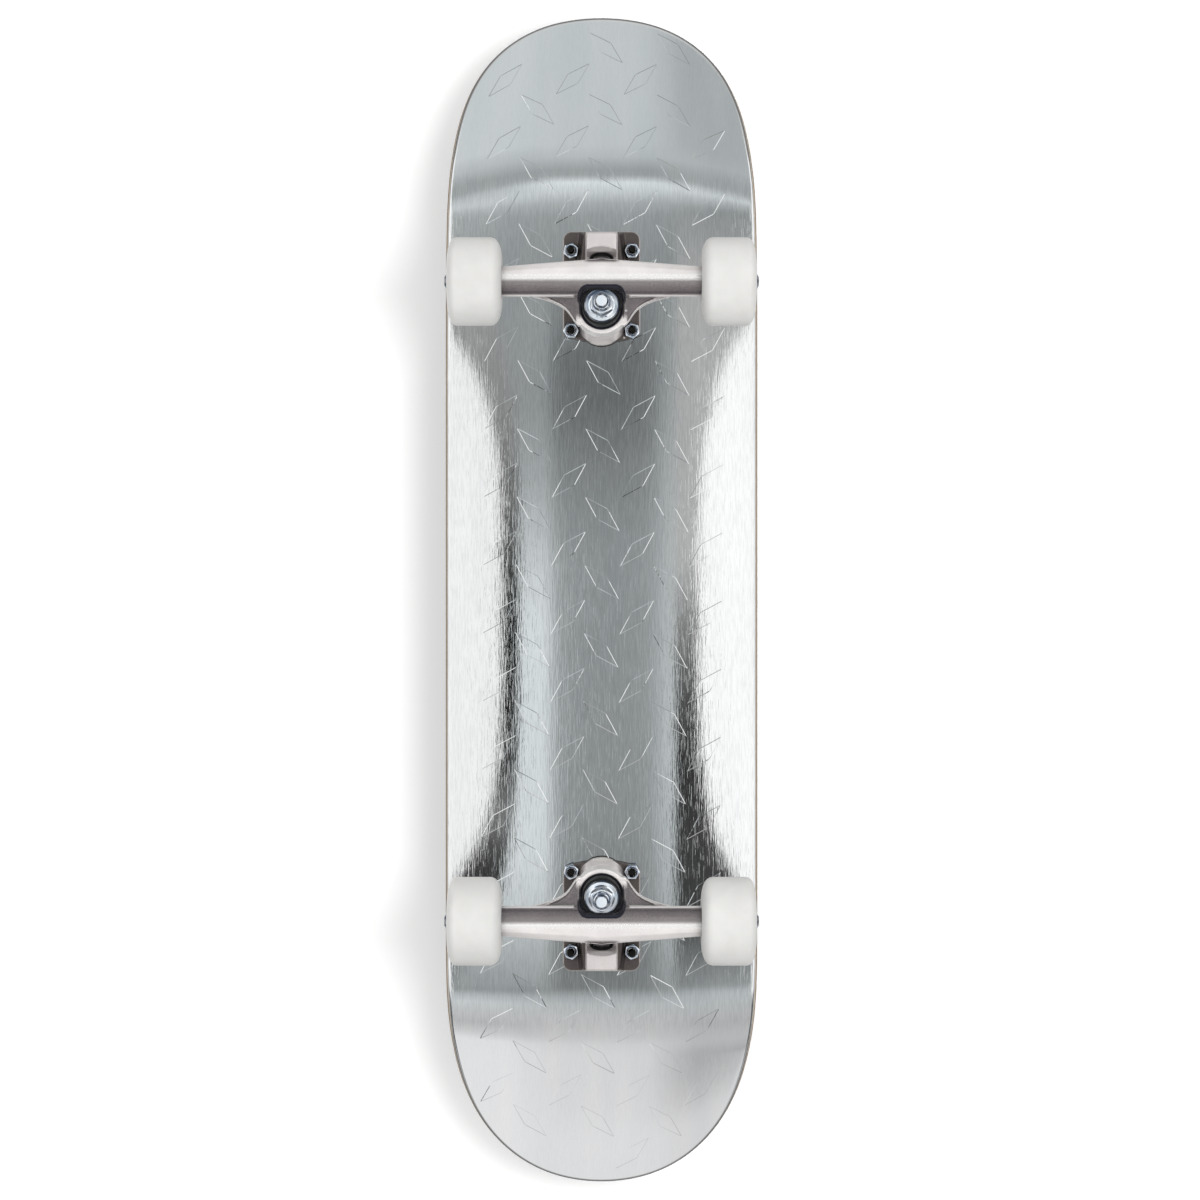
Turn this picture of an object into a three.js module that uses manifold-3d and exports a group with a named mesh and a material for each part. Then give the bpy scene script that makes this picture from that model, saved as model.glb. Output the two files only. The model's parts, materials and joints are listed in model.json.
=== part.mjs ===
// A complete skateboard, upright on its wheels. Millimetres, +Z up, +X towards the nose.
// The origin is on the ground, midway between the two axles.

import * as THREE from 'three';
import { mergeVertices } from 'three/addons/utils/BufferGeometryUtils.js';
import Module from 'manifold-3d';

const wasm = await Module();
wasm.setup();

// ---- Driving dimensions -------------------------------------------------------------------

const GAP = 0.3; // clearance between neighbouring pieces

// Board
const DECK_BOTTOM_Z = 83; // underside of the wood between the trucks
const DECK_THICK = 11;
const FOIL_THICK = 0.4;
const GRIP_THICK = 0.8;
const HALF_WIDTH = 106.4;
const FLAT_SHARE = 0.3; // share of the half width that stays flat across the middle
const CONCAVE_RISE = 9; // how far the long edges rise above the middle
const CONCAVE_POWER = 1.7;
const NOSE = { tip: 407.7, start: 0, fullness: 9.4, roundness: 2.0, kickX: 262, radius: 130, kick: 22 };
const TAIL = { tip: 404.1, start: 199, fullness: 3.88, roundness: 2.0, kickX: 262, radius: 140, kick: 19.5 };

// Trucks: u runs outwards along the board, w runs up, and (0, 0) is the axle's centre
const TRUCK_X = 210.5;
const WHEEL_RADIUS = 29;
const FLANGE = { uIn: -36.2, uOut: 39.6, half: 26.2, corner: 6, wLow: 47, wTop: 53 };
const PIVOT = { u: 19.5, w: 35.5 }; // centre of the pivot cup's mouth
const RING = { u: -17, w: 18 }; // centre of the hanger's ring on the kingpin
const KINGPIN_LEAN = THREE.MathUtils.degToRad(8);
const BOLT_HALF_Y = 20.64;
const BOLT_U_IN = 182.56 - TRUCK_X;
const BOLT_U_OUT = 236.54 - TRUCK_X;

// Places along the kingpin, measured from the ring's centre towards the road
const WEB_HALF = 3.5;
const STACK = {
  roadBushing: [WEB_HALF + GAP, 13.3],
  roadWasher: [13.6, 15.2],
  nut: [15.5, 24.5],
  boardBushing: [-16.9, -WEB_HALF - GAP],
  boardWasher: [-18.7, -17.2],
  seat: -19,
  headLow: -27.5,
  headTop: -33.3,
  tip: 26.5,
};
const KINGPIN_R = 4.75;
const KINGPIN_BORE_R = KINGPIN_R + GAP;
const RING_OUTER_R = 17.3;
const CUP_R = 14;

// Axle, wheels and bearings: distances are from the middle of the axle
const AXLE_R = 4;
const AXLE_HALF = 104.75;
const HANGER_HALF = 70.6;
const WHEEL_MID = 83.5;
const WHEEL_HALF = 18;
const TREAD_HALF = 9;
const BEARING = { outer: 11, width: 7, fromMid: 5 };
const SPEED_RING = [95.8, 96.7];
const AXLE_NUT = [97, 103.8];

// Hardware
const SCREW_R = 2.4;
const SCREW_TIP_W = 37.5;
const SCREW_NUT = { flats: 9.5, height: 5.7 };

// Facets around each kind of round
const SIDES = { wheel: 24, ring: 20, middle: 16, small: 12, hole: 10 };

// ---- Helpers ------------------------------------------------------------------------------

// Drops normals and collapsed triangles, joins vertices, and turns the faces outwards.
function closed(geometry) {
  const bare = geometry.clone();
  bare.deleteAttribute('normal');
  bare.deleteAttribute('uv');
  const merged = mergeVertices(bare, 1e-4);
  const position = merged.attributes.position;
  const index = merged.index.array;
  const kept = [];
  let volume = 0;
  const [a, b, c] = [new THREE.Vector3(), new THREE.Vector3(), new THREE.Vector3()];
  for (let i = 0; i < index.length; i += 3) {
    const [ia, ib, ic] = [index[i], index[i + 1], index[i + 2]];
    if (ia === ib || ib === ic || ic === ia) continue;
    kept.push(ia, ib, ic);
    a.fromBufferAttribute(position, ia);
    b.fromBufferAttribute(position, ib);
    c.fromBufferAttribute(position, ic);
    volume += a.dot(b.cross(c));
  }
  if (volume < 0) kept.reverse();
  merged.setIndex(kept);
  return merged;
}

function toSolid(geometry) {
  const merged = closed(geometry);
  const vertProperties = new Float32Array(merged.attributes.position.array);
  const triVerts = new Uint32Array(merged.index.array);
  return new wasm.Manifold(new wasm.Mesh({ numProp: 3, vertProperties, triVerts }));
}

function toGeometry(solid) {
  const mesh = solid.getMesh();
  const geometry = new THREE.BufferGeometry();
  geometry.setAttribute('position', new THREE.BufferAttribute(mesh.vertProperties, 3));
  geometry.setIndex(new THREE.BufferAttribute(mesh.triVerts, 1));
  return geometry;
}

function join(...geometries) {
  return geometries.map(toSolid).reduce((whole, part) => whole.add(part));
}

// Joins closed sections of the same even point count into one solid. Each section lists its
// points along one side and back along the other, so its end cap is a strip across. Both
// sides split their quads along the same diagonal, so stacked layers stay parallel.
function loft(sections) {
  const count = sections[0].length;
  const index = [];
  const quad = (a, b, c, d) => index.push(a, b, c, a, c, d);
  for (let row = 0; row + 1 < sections.length; row += 1) {
    for (let i = 0; i < count; i += 1) {
      const next = (i + 1) % count;
      const corners = [row * count + i, row * count + next, (row + 1) * count + next, (row + 1) * count + i];
      if (i >= count / 2) corners.push(corners.shift());
      quad(...corners);
    }
  }
  const last = (sections.length - 1) * count;
  for (let i = 0; i < count / 2 - 1; i += 1) {
    quad(i, count - 1 - i, count - 2 - i, i + 1);
    quad(last + i, last + i + 1, last + count - 2 - i, last + count - 1 - i);
  }
  const geometry = new THREE.BufferGeometry();
  geometry.setFromPoints(sections.flat());
  geometry.setIndex(index);
  return geometry;
}

// A profile of [radius, height] points turned about Y. Half a step of turn puts flats on the axes.
function turned(profile, segments) {
  const points = profile.map(([r, y]) => new THREE.Vector2(r, y));
  return new THREE.LatheGeometry(points, segments, Math.PI / segments);
}

function rod(radius, from, to, segments) {
  return turned([[0, from], [radius, from], [radius, to], [0, to]], segments);
}

// A tube: the profile closes on itself.
function tube(inner, outer, from, to, segments) {
  return turned([[inner, from], [outer, from], [outer, to], [inner, to], [inner, from]], segments);
}

// A hexagonal nut about Y with a round bore.
function hexNut(flats, bore, from, to, boreSegments) {
  const shape = new THREE.Shape();
  for (let i = 0; i < 6; i += 1) {
    const angle = (i * Math.PI) / 3;
    const radius = flats / Math.sqrt(3);
    shape[i ? 'lineTo' : 'moveTo'](radius * Math.cos(angle), radius * Math.sin(angle));
  }
  shape.closePath();
  if (bore > 0) {
    shape.holes.push(new THREE.Path().absarc(0, 0, bore, 0, 2 * Math.PI, true));
  }
  const geometry = new THREE.ExtrudeGeometry(shape, {
    depth: to - from, bevelEnabled: false, curveSegments: boreSegments,
  });
  return geometry.translate(0, 0, from).rotateX(-Math.PI / 2);
}

// An outline of [u, w] points made into a slab between y = -half and y = +half.
function slabY(outline, half) {
  const shape = new THREE.Shape(outline.map(([u, w]) => new THREE.Vector2(u, w)));
  const geometry = new THREE.ExtrudeGeometry(shape, { depth: 2 * half, bevelEnabled: false });
  return geometry.translate(0, 0, -half).rotateX(Math.PI / 2);
}

// Moves a piece built along Y so that Y follows the direction [du, dw] from the point (u, w).
function aim(geometry, { u, w }, [du, dw]) {
  const turn = new THREE.Quaternion();
  turn.setFromUnitVectors(new THREE.Vector3(0, 1, 0), new THREE.Vector3(du, 0, dw).normalize());
  return geometry.applyQuaternion(turn).translate(u, 0, w);
}

const kingpinWay = [Math.sin(KINGPIN_LEAN), -Math.cos(KINGPIN_LEAN)];
const pivotWay = [PIVOT.u - RING.u, PIVOT.w - RING.w];
const onKingpin = (geometry) => aim(geometry, RING, kingpinWay);
const onPivot = (geometry) => aim(geometry, PIVOT, pivotWay);

function finish(color, roughness, metalness) {
  return () => new THREE.MeshStandardMaterial({ color, roughness, metalness });
}

const finishes = {
  maple: finish(0xd9b98a, 0.6, 0),
  foil: finish(0xaab0b0, 0.3, 0.9),
  grip: finish(0x161617, 0.95, 0),
  cast: finish(0xbdb8b4, 0.4, 0.9),
  castDark: finish(0x8d8680, 0.5, 0.9),
  steel: finish(0x9aa0a6, 0.35, 1),
  zinc: finish(0xb8c4c8, 0.25, 1),
  bushing: finish(0x151515, 0.5, 0),
  urethane: finish(0xebe8df, 0.45, 0),
};

function piece(name, geometry, makeMaterial) {
  const mesh = new THREE.Mesh(closed(geometry), makeMaterial());
  mesh.name = name;
  return mesh;
}

// ---- Board --------------------------------------------------------------------------------

// Half width of the outline at a distance from the middle towards one end.
function halfWidthAt(end, x) {
  const t = THREE.MathUtils.clamp((x - end.start) / (end.tip - end.start), 0, 1);
  return HALF_WIDTH * (1 - t ** end.fullness) ** (1 / end.roundness);
}

// Distance from the middle at which the outline has narrowed to a share of its half width.
function distanceAtShare(end, share) {
  return end.start + (end.tip - end.start) * (1 - share ** end.roundness) ** (1 / end.fullness);
}

// The underside's centre line at a distance from the middle: its rise and its slope angle.
function kickAt(end, x) {
  const full = THREE.MathUtils.degToRad(end.kick);
  const along = Math.max(x - end.kickX, 0);
  const arcEnd = end.radius * Math.sin(full);
  if (along >= arcEnd) {
    return { rise: end.radius * (1 - Math.cos(full)) + (along - arcEnd) * Math.tan(full), slope: full };
  }
  const slope = Math.asin(along / end.radius);
  return { rise: end.radius * (1 - Math.cos(slope)), slope };
}

function concaveAt(y) {
  const flat = FLAT_SHARE * HALF_WIDTH;
  const t = Math.max(Math.abs(y) - flat, 0) / (HALF_WIDTH - flat);
  return CONCAVE_RISE * t ** CONCAVE_POWER;
}

// Signed stations along the board: by the outline's width round the tips, then by distance.
function boardStations() {
  const tipShares = [0.1, 0.34, 0.56, 0.74];
  const distances = [343, 325, 311, 295, 278, 262, 110];
  const half = (end) => [...tipShares.map((share) => distanceAtShare(end, share)), ...distances];
  const tail = half(TAIL).map((x) => ({ end: TAIL, sign: -1, x }));
  const nose = half(NOSE).map((x) => ({ end: NOSE, sign: 1, x })).reverse();
  return [...tail, ...nose];
}

// A layer of the board between two heights above the wood's underside.
function boardLayer(low, high) {
  const across = [-1, -0.8, -0.55, -FLAT_SHARE, FLAT_SHARE, 0.55, 0.8, 1];
  const sections = boardStations().map(({ end, sign, x }) => {
    const { rise, slope } = kickAt(end, x);
    const halfWidth = halfWidthAt(end, x);
    const point = (share, height) => {
      const y = share * halfWidth;
      const off = height + concaveAt(y);
      const z = DECK_BOTTOM_Z + rise + off * Math.cos(slope);
      return new THREE.Vector3(sign * (x - off * Math.sin(slope)), y, z);
    };
    const lower = across.map((share) => point(share, low));
    const upper = across.map((share) => point(share, high));
    return [...lower, ...upper.reverse()];
  });
  return loft(sections);
}

// The eight mounting positions on the board.
const boltPlaces = [];
for (const [end, sign] of [['front', 1], ['rear', -1]]) {
  for (const [row, u] of [['outer', BOLT_U_OUT], ['inner', BOLT_U_IN]]) {
    for (const [side, y] of [['left', BOLT_HALF_Y], ['right', -BOLT_HALF_Y]]) {
      boltPlaces.push({ name: `${end}_${row}_${side}`, x: sign * (TRUCK_X + u), y });
    }
  }
}

function drilled(layer, profile) {
  let solid = toSolid(layer);
  for (const { x, y } of boltPlaces) {
    const drill = turned(profile, SIDES.hole).rotateX(Math.PI / 2).translate(x, y, 0);
    solid = solid.subtract(toSolid(drill));
  }
  return toGeometry(solid);
}

const deckTopZ = DECK_BOTTOM_Z + DECK_THICK;
const gripTopZ = deckTopZ + GAP + GRIP_THICK;
const screwHead = { radius: 4.8, topZ: gripTopZ - 0.5, height: 2.6 };
const HOLE_R = 2.8;
const headHoleR = screwHead.radius + 0.5;
const coneLowZ = screwHead.topZ - screwHead.height - 0.4;

function board() {
  const group = new THREE.Group();
  const straightHole = [[0, 60], [HOLE_R, 60], [HOLE_R, 120], [0, 120]];
  const coneHighZ = screwHead.topZ - 0.3;
  const sunkHole = [[0, 60], [HOLE_R, 60], [HOLE_R, coneLowZ], [headHoleR, coneHighZ], [headHoleR, 120], [0, 120]];
  const gripHole = [[0, 60], [headHoleR, 60], [headHoleR, 120], [0, 120]];
  const foilTop = -GAP;
  const gripLow = DECK_THICK + GAP;
  group.add(
    piece('deck', drilled(boardLayer(0, DECK_THICK), sunkHole), finishes.maple),
    piece('foil_sheet', drilled(boardLayer(foilTop - FOIL_THICK, foilTop), straightHole), finishes.foil),
    piece('grip_tape', drilled(boardLayer(gripLow, gripLow + GRIP_THICK), gripHole), finishes.grip),
  );
  return group;
}

// A countersunk screw down through the board and its nut under the baseplate.
function mountingHardware() {
  const group = new THREE.Group();
  const tipZ = WHEEL_RADIUS + SCREW_TIP_W;
  const coneZ = screwHead.topZ - screwHead.height;
  const profile = [
    [0, tipZ], [SCREW_R, tipZ], [SCREW_R, coneZ], [screwHead.radius, screwHead.topZ - 0.3],
    [screwHead.radius, screwHead.topZ], [0, screwHead.topZ],
  ];
  const nutTop = WHEEL_RADIUS + FLANGE.wLow - GAP;
  const nutLow = nutTop - SCREW_NUT.height;
  for (const { name, x, y } of boltPlaces) {
    const screw = turned(profile, SIDES.hole).rotateX(Math.PI / 2);
    const nut = hexNut(SCREW_NUT.flats, SCREW_R + GAP, nutLow, nutTop, 6).rotateX(Math.PI / 2);
    const screwMesh = piece(`screw_${name}`, screw, finishes.steel);
    const nutMesh = piece(`nut_${name}`, nut, finishes.zinc);
    screwMesh.position.set(x, y, 0);
    nutMesh.position.set(x, y, 0);
    group.add(screwMesh, nutMesh);
  }
  return group;
}

// ---- Truck --------------------------------------------------------------------------------

// Plate with a straight outer end and an arched inner end, a pivot housing and a kingpin boss.
function baseplate() {
  const { uIn, uOut, half, corner } = FLANGE;
  const arch = 4;
  const shape = new THREE.Shape();
  shape.moveTo(uOut, -half + corner);
  shape.lineTo(uOut, half - corner);
  shape.quadraticCurveTo(uOut, half, uOut - corner, half);
  shape.lineTo(uIn + arch + corner, half);
  shape.quadraticCurveTo(uIn + arch, half, uIn + arch - 1, half - corner);
  shape.quadraticCurveTo(uIn - arch / 2, 0, uIn + arch - 1, -half + corner);
  shape.quadraticCurveTo(uIn + arch, -half, uIn + arch + corner, -half);
  shape.lineTo(uOut - corner, -half);
  shape.quadraticCurveTo(uOut, -half, uOut, -half + corner);
  const plate = new THREE.ExtrudeGeometry(shape, {
    depth: FLANGE.wTop - FLANGE.wLow, bevelEnabled: false, curveSegments: 5,
  }).translate(0, 0, FLANGE.wLow);

  // The housing's sloping face stands square to the pivot's axis, at the cup's mouth.
  const across = new THREE.Vector2(pivotWay[1], -pivotWay[0]).normalize();
  const facePoint = (k) => [PIVOT.u + k * across.x, PIVOT.w + k * across.y];
  const plateOverlapW = FLANGE.wLow + 1;
  const housing = slabY([
    facePoint((PIVOT.w - plateOverlapW) / -across.y), facePoint(10.3),
    [26.4, 25.4], [38.2, 26.6], [uOut - 0.2, plateOverlapW],
  ], 11);
  const rib = slabY([[18, plateOverlapW], [25, 36], [37, 37], [uOut - 0.4, plateOverlapW]], 14.5);
  const boss = onKingpin(turned([
    [0, STACK.seat], [14.5, STACK.seat], [15.6, STACK.seat - 8], [15.6, STACK.headTop], [0, STACK.headTop],
  ], SIDES.ring));
  const belowTop = slabY([[-60, 0], [60, 0], [60, FLANGE.wTop], [-60, FLANGE.wTop]], 40);
  let solid = join(plate, housing, rib, boss).intersect(toSolid(belowTop));

  const cuts = [
    onPivot(rod(7.8, -6, 10.6, SIDES.middle)),
    onKingpin(rod(KINGPIN_BORE_R, -40, 0, SIDES.small)),
    onKingpin(rod(9, -60, STACK.headLow + GAP, SIDES.small)),
  ];
  for (const u of [BOLT_U_IN, BOLT_U_OUT]) {
    for (const y of [-BOLT_HALF_Y, BOLT_HALF_Y]) {
      cuts.push(rod(HOLE_R, -70, -30, SIDES.hole).rotateX(-Math.PI / 2).translate(u, y, 0));
    }
  }
  for (const cut of cuts) solid = solid.subtract(toSolid(cut));
  return toGeometry(solid);
}

// Urethane cup in the housing that the hanger's pivot turns in.
function pivotCup() {
  return onPivot(turned([
    [5.9, 0.2], [7.4, 0.2], [7.4, 10.2], [0, 10.2], [0, 9], [4.6, 9], [5.3, 7], [5.9, 0.2],
  ], SIDES.middle));
}

// The hanger's beam: a rounded section, drawn out towards the pivot at the middle.
function hangerBeam() {
  const endReach = 9.4;
  const midReach = 15.2;
  const sections = [-1, -0.72, -0.42, -0.2, 0.2, 0.42, 0.72, 1].map((share) => {
    const y = share * HANGER_HALF;
    const reach = midReach - (midReach - endReach) * Math.min(1, Math.abs(share) * 1.15);
    const [far, near] = [0.97 * reach, 0.72 * reach];
    const lower = [[-10, -2.5], [-8.4, -6.4], [-4, -9], [3, -9.75], [near, -7.2], [far, -3.4]];
    const upper = [[-9.7, 2.5], [-7.2, 6.6], [-2.5, 9.6], [3, 9.6], [near, 7], [far, 3]];
    return [...lower, ...upper.reverse()].map(([u, w]) => new THREE.Vector3(u, y, w));
  });
  return loft(sections);
}

// Webs that sweep from the beam's inner side round to the ring.
function hangerWings() {
  const edge = [[42, -10.5], [34, -12.8], [28, -14.8], [22.5, -18], [19.5, -22.5], [16.5, -27]];
  const stations = [...edge.map(([y, u]) => [-y, u]), ...edge.slice().reverse()];
  return loft(stations.map(([y, u]) => {
    const lift = THREE.MathUtils.clamp((-u - 10.5) / 16.5, 0, 1);
    const section = [[u, 2 + 8 * lift], [-2, -2], [-2, 9], [u, 7 + 13 * lift]];
    return section.map(([a, w]) => new THREE.Vector3(a, y, w));
  }));
}

function hanger() {
  const ring = onKingpin(rod(RING_OUTER_R, -7, 9, SIDES.ring));
  const neckWeb = slabY([[-1.5, 3], [-1.5, 24], [2, 31], [11, 35.5], [16.5, 28], [15, 8], [12, 3]], 7);
  const pivot = onPivot(turned([
    [0, -24], [8.2, -24], [7.2, -2.5], [5.5, -0.8], [4.6, 6.2], [3.6, 8], [0, 8.6],
  ], SIDES.middle));
  let solid = join(hangerBeam(), hangerWings(), ring, neckWeb, pivot);

  // The mouth of the ring is cut down past the beam, so that the kingpin's nut has room.
  const nutRoom = slabY([
    [-40, 9.4], [-3.2, 9.4], [-2.2, 7], [-2.8, 4.9], [-4.3, 3.2], [-5.1, 0],
    [-4.3, -3.4], [-2.6, -6.2], [-0.8, -9.6], [-0.8, -14], [-40, -14],
  ], 15);
  const cuts = [
    nutRoom,
    onKingpin(rod(CUP_R, WEB_HALF, 14.5, SIDES.ring)),
    onKingpin(rod(15, -30, -WEB_HALF, SIDES.ring)),
    onKingpin(rod(7.5, -10, 10, SIDES.small)),
    rod(AXLE_R + GAP, -90, 90, SIDES.small),
  ];
  for (const cut of cuts) solid = solid.subtract(toSolid(cut));
  return toGeometry(solid);
}

function kingpin() {
  const shaft = rod(KINGPIN_R, STACK.headLow - 1, STACK.tip, SIDES.small);
  const head = hexNut(14.3, 0, STACK.headTop, STACK.headLow, 1);
  return toGeometry(join(onKingpin(shaft), onKingpin(head)));
}

function bushing([from, to], rFrom, rTo) {
  const middle = (from + to) / 2;
  const bulge = Math.max(rFrom, rTo) - 0.4;
  const bore = KINGPIN_BORE_R;
  return onKingpin(turned([
    [bore, from], [rFrom, from], [bulge, middle], [rTo, to], [bore, to], [bore, from],
  ], SIDES.middle));
}

function washer([from, to], radius) {
  return onKingpin(tube(KINGPIN_BORE_R, radius, from, to, SIDES.middle));
}

// One wheel about Y, centred on the origin: bearing seats, side recesses and rounded shoulders.
function wheelGeometry() {
  const seat = BEARING.outer + GAP;
  const lip = BEARING.fromMid - GAP;
  const rimR = WHEEL_RADIUS / Math.cos(Math.PI / SIDES.wheel);
  const shoulder = { r: 12, high: rimR - 12, wide: WHEEL_HALF - TREAD_HALF };
  const outside = [8, 35, 62, 90].map((degrees) => {
    const angle = THREE.MathUtils.degToRad(degrees);
    return [shoulder.r + shoulder.high * Math.sin(angle), TREAD_HALF + shoulder.wide * Math.cos(angle)];
  });
  const half = [[8, lip], [seat, lip], [seat, 12.5], [13, 17.4], ...outside];
  const mirrored = half.map(([r, y]) => [r, -y]).reverse();
  return turned([...half, ...mirrored, half[0]], SIDES.wheel);
}

function bearingGeometry() {
  return tube(AXLE_R + GAP, BEARING.outer, -BEARING.width / 2, BEARING.width / 2, SIDES.middle);
}

function truck(end) {
  const group = new THREE.Group();
  const add = (name, geometry, look) => group.add(piece(`${end}_${name}`, geometry, look));
  add('baseplate', baseplate(), finishes.castDark);
  add('pivot_cup', pivotCup(), finishes.bushing);
  add('kingpin', kingpin(), finishes.zinc);
  add('kingpin_nut', onKingpin(hexNut(14.3, KINGPIN_BORE_R, ...STACK.nut, 6)), finishes.zinc);
  add('road_washer', washer(STACK.roadWasher, 11), finishes.zinc);
  add('road_bushing', bushing(STACK.roadBushing, 12.4, 10.6), finishes.bushing);
  add('board_bushing', bushing(STACK.boardBushing, 12.6, 13.8), finishes.bushing);
  add('board_washer', washer(STACK.boardWasher, 13.4), finishes.zinc);
  add('hanger', hanger(), finishes.cast);
  add('axle', rod(AXLE_R, -AXLE_HALF, AXLE_HALF, SIDES.small), finishes.steel);
  // The rear truck is turned about the vertical, so its own +Y side is the board's right.
  for (const side of [1, -1]) {
    const label = (side === 1) === (end === 'front') ? 'left' : 'right';
    const sided = (name, geometry, look, y) => {
      const mesh = piece(`${end}_${label}_${name}`, geometry, look);
      mesh.position.y = side * y;
      group.add(mesh);
    };
    const span = ([from, to]) => [-(to - from) / 2, (to - from) / 2];
    const mid = ([from, to]) => (from + to) / 2;
    const bearingMid = BEARING.fromMid + BEARING.width / 2;
    sided('wheel', wheelGeometry(), finishes.urethane, WHEEL_MID);
    sided('inner_bearing', bearingGeometry(), finishes.steel, WHEEL_MID - bearingMid);
    sided('outer_bearing', bearingGeometry(), finishes.steel, WHEEL_MID + bearingMid);
    const ringShape = tube(AXLE_R + GAP, 6.2, ...span(SPEED_RING), SIDES.small);
    const nutShape = hexNut(12.7, AXLE_R + GAP, ...span(AXLE_NUT), 6);
    sided('speed_ring', ringShape, finishes.zinc, mid(SPEED_RING));
    sided('axle_nut', nutShape, finishes.zinc, mid(AXLE_NUT));
  }
  return group;
}

// ---- Whole board --------------------------------------------------------------------------

const skateboard = new THREE.Group();
skateboard.add(board(), mountingHardware());
for (const [end, sign] of [['front', 1], ['rear', -1]]) {
  const group = truck(end);
  group.position.set(sign * TRUCK_X, 0, WHEEL_RADIUS);
  group.rotation.z = sign === 1 ? 0 : Math.PI;
  skateboard.add(group);
}

export default skateboard;
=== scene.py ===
import json
import math

import bmesh
import bpy
import numpy as np
from mathutils import Matrix, Vector

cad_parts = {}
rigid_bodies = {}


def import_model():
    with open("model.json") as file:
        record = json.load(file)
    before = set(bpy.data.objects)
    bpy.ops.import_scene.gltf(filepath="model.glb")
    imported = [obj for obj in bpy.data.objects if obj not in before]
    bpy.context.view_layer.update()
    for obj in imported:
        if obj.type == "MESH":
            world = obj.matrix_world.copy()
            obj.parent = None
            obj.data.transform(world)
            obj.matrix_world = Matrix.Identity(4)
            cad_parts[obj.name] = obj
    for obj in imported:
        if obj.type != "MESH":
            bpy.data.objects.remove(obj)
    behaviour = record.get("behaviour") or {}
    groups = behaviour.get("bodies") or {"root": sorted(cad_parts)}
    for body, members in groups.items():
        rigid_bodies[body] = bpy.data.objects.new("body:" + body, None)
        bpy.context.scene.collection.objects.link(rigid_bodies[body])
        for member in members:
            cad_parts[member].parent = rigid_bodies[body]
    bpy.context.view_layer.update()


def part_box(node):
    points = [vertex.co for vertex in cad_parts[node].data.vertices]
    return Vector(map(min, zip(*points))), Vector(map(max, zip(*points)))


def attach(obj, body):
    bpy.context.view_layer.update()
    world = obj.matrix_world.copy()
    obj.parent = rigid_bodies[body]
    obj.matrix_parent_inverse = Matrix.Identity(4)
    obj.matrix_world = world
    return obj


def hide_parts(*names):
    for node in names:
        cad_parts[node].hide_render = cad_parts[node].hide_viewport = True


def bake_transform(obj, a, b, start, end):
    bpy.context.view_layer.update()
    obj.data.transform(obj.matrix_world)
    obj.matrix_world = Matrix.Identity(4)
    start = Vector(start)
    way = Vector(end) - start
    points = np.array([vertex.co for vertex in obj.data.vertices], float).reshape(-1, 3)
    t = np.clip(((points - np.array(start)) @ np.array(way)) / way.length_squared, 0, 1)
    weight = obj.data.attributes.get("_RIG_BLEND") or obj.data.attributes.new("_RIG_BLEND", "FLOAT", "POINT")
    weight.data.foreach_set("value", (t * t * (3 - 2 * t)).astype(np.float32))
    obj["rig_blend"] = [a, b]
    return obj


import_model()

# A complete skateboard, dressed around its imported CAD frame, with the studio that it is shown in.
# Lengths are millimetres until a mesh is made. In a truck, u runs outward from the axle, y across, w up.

MM = 0.001


# ---- Places read from the frame -------------------------------------------------------------

def node_box(node):
    low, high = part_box(node)
    return np.array(low) / MM, np.array(high) / MM


def middle(node):
    low, high = node_box(node)
    return (low + high) / 2


FOIL_LOW = -0.7                    # height of the foil's face over the wood's underside
DECK_BOTTOM = node_box("foil_sheet")[0][2] - FOIL_LOW
DECK_THICK = 11.0
HALF_WIDTH = node_box("deck")[1][1]
FLAT_HALF = 0.3 * HALF_WIDTH
CONCAVE_RISE, CONCAVE_POWER = 9.0, 1.7
NOSE = dict(sign=1, tip=407.4, start=0, fullness=9.4, roundness=2.0, kick_x=262, radius=130, kick=22)
TAIL = dict(sign=-1, tip=403.8, start=199, fullness=3.88, roundness=2.0, kick_x=262, radius=140, kick=19.5)

PIVOT = (19.5, 35.5)               # pivot cup's mouth, out from and up from the axle
RING = (-17.0, 18.0)               # hanger's ring on the kingpin
KINGPIN_WAY = (math.sin(math.radians(8)), -math.cos(math.radians(8)))
PIVOT_WAY = (PIVOT[0] - RING[0], PIVOT[1] - RING[1])
BOLT_U, BOLT_Y = (-27.94, 26.04), 20.64
FLANGE_LOW, FLANGE_TOP = 47.0, 53.0
WHEEL_R, WHEEL_HALF, WHEEL_MID = 29.0, 18.0, 83.5


# ---- Node helpers ---------------------------------------------------------------------------

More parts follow.
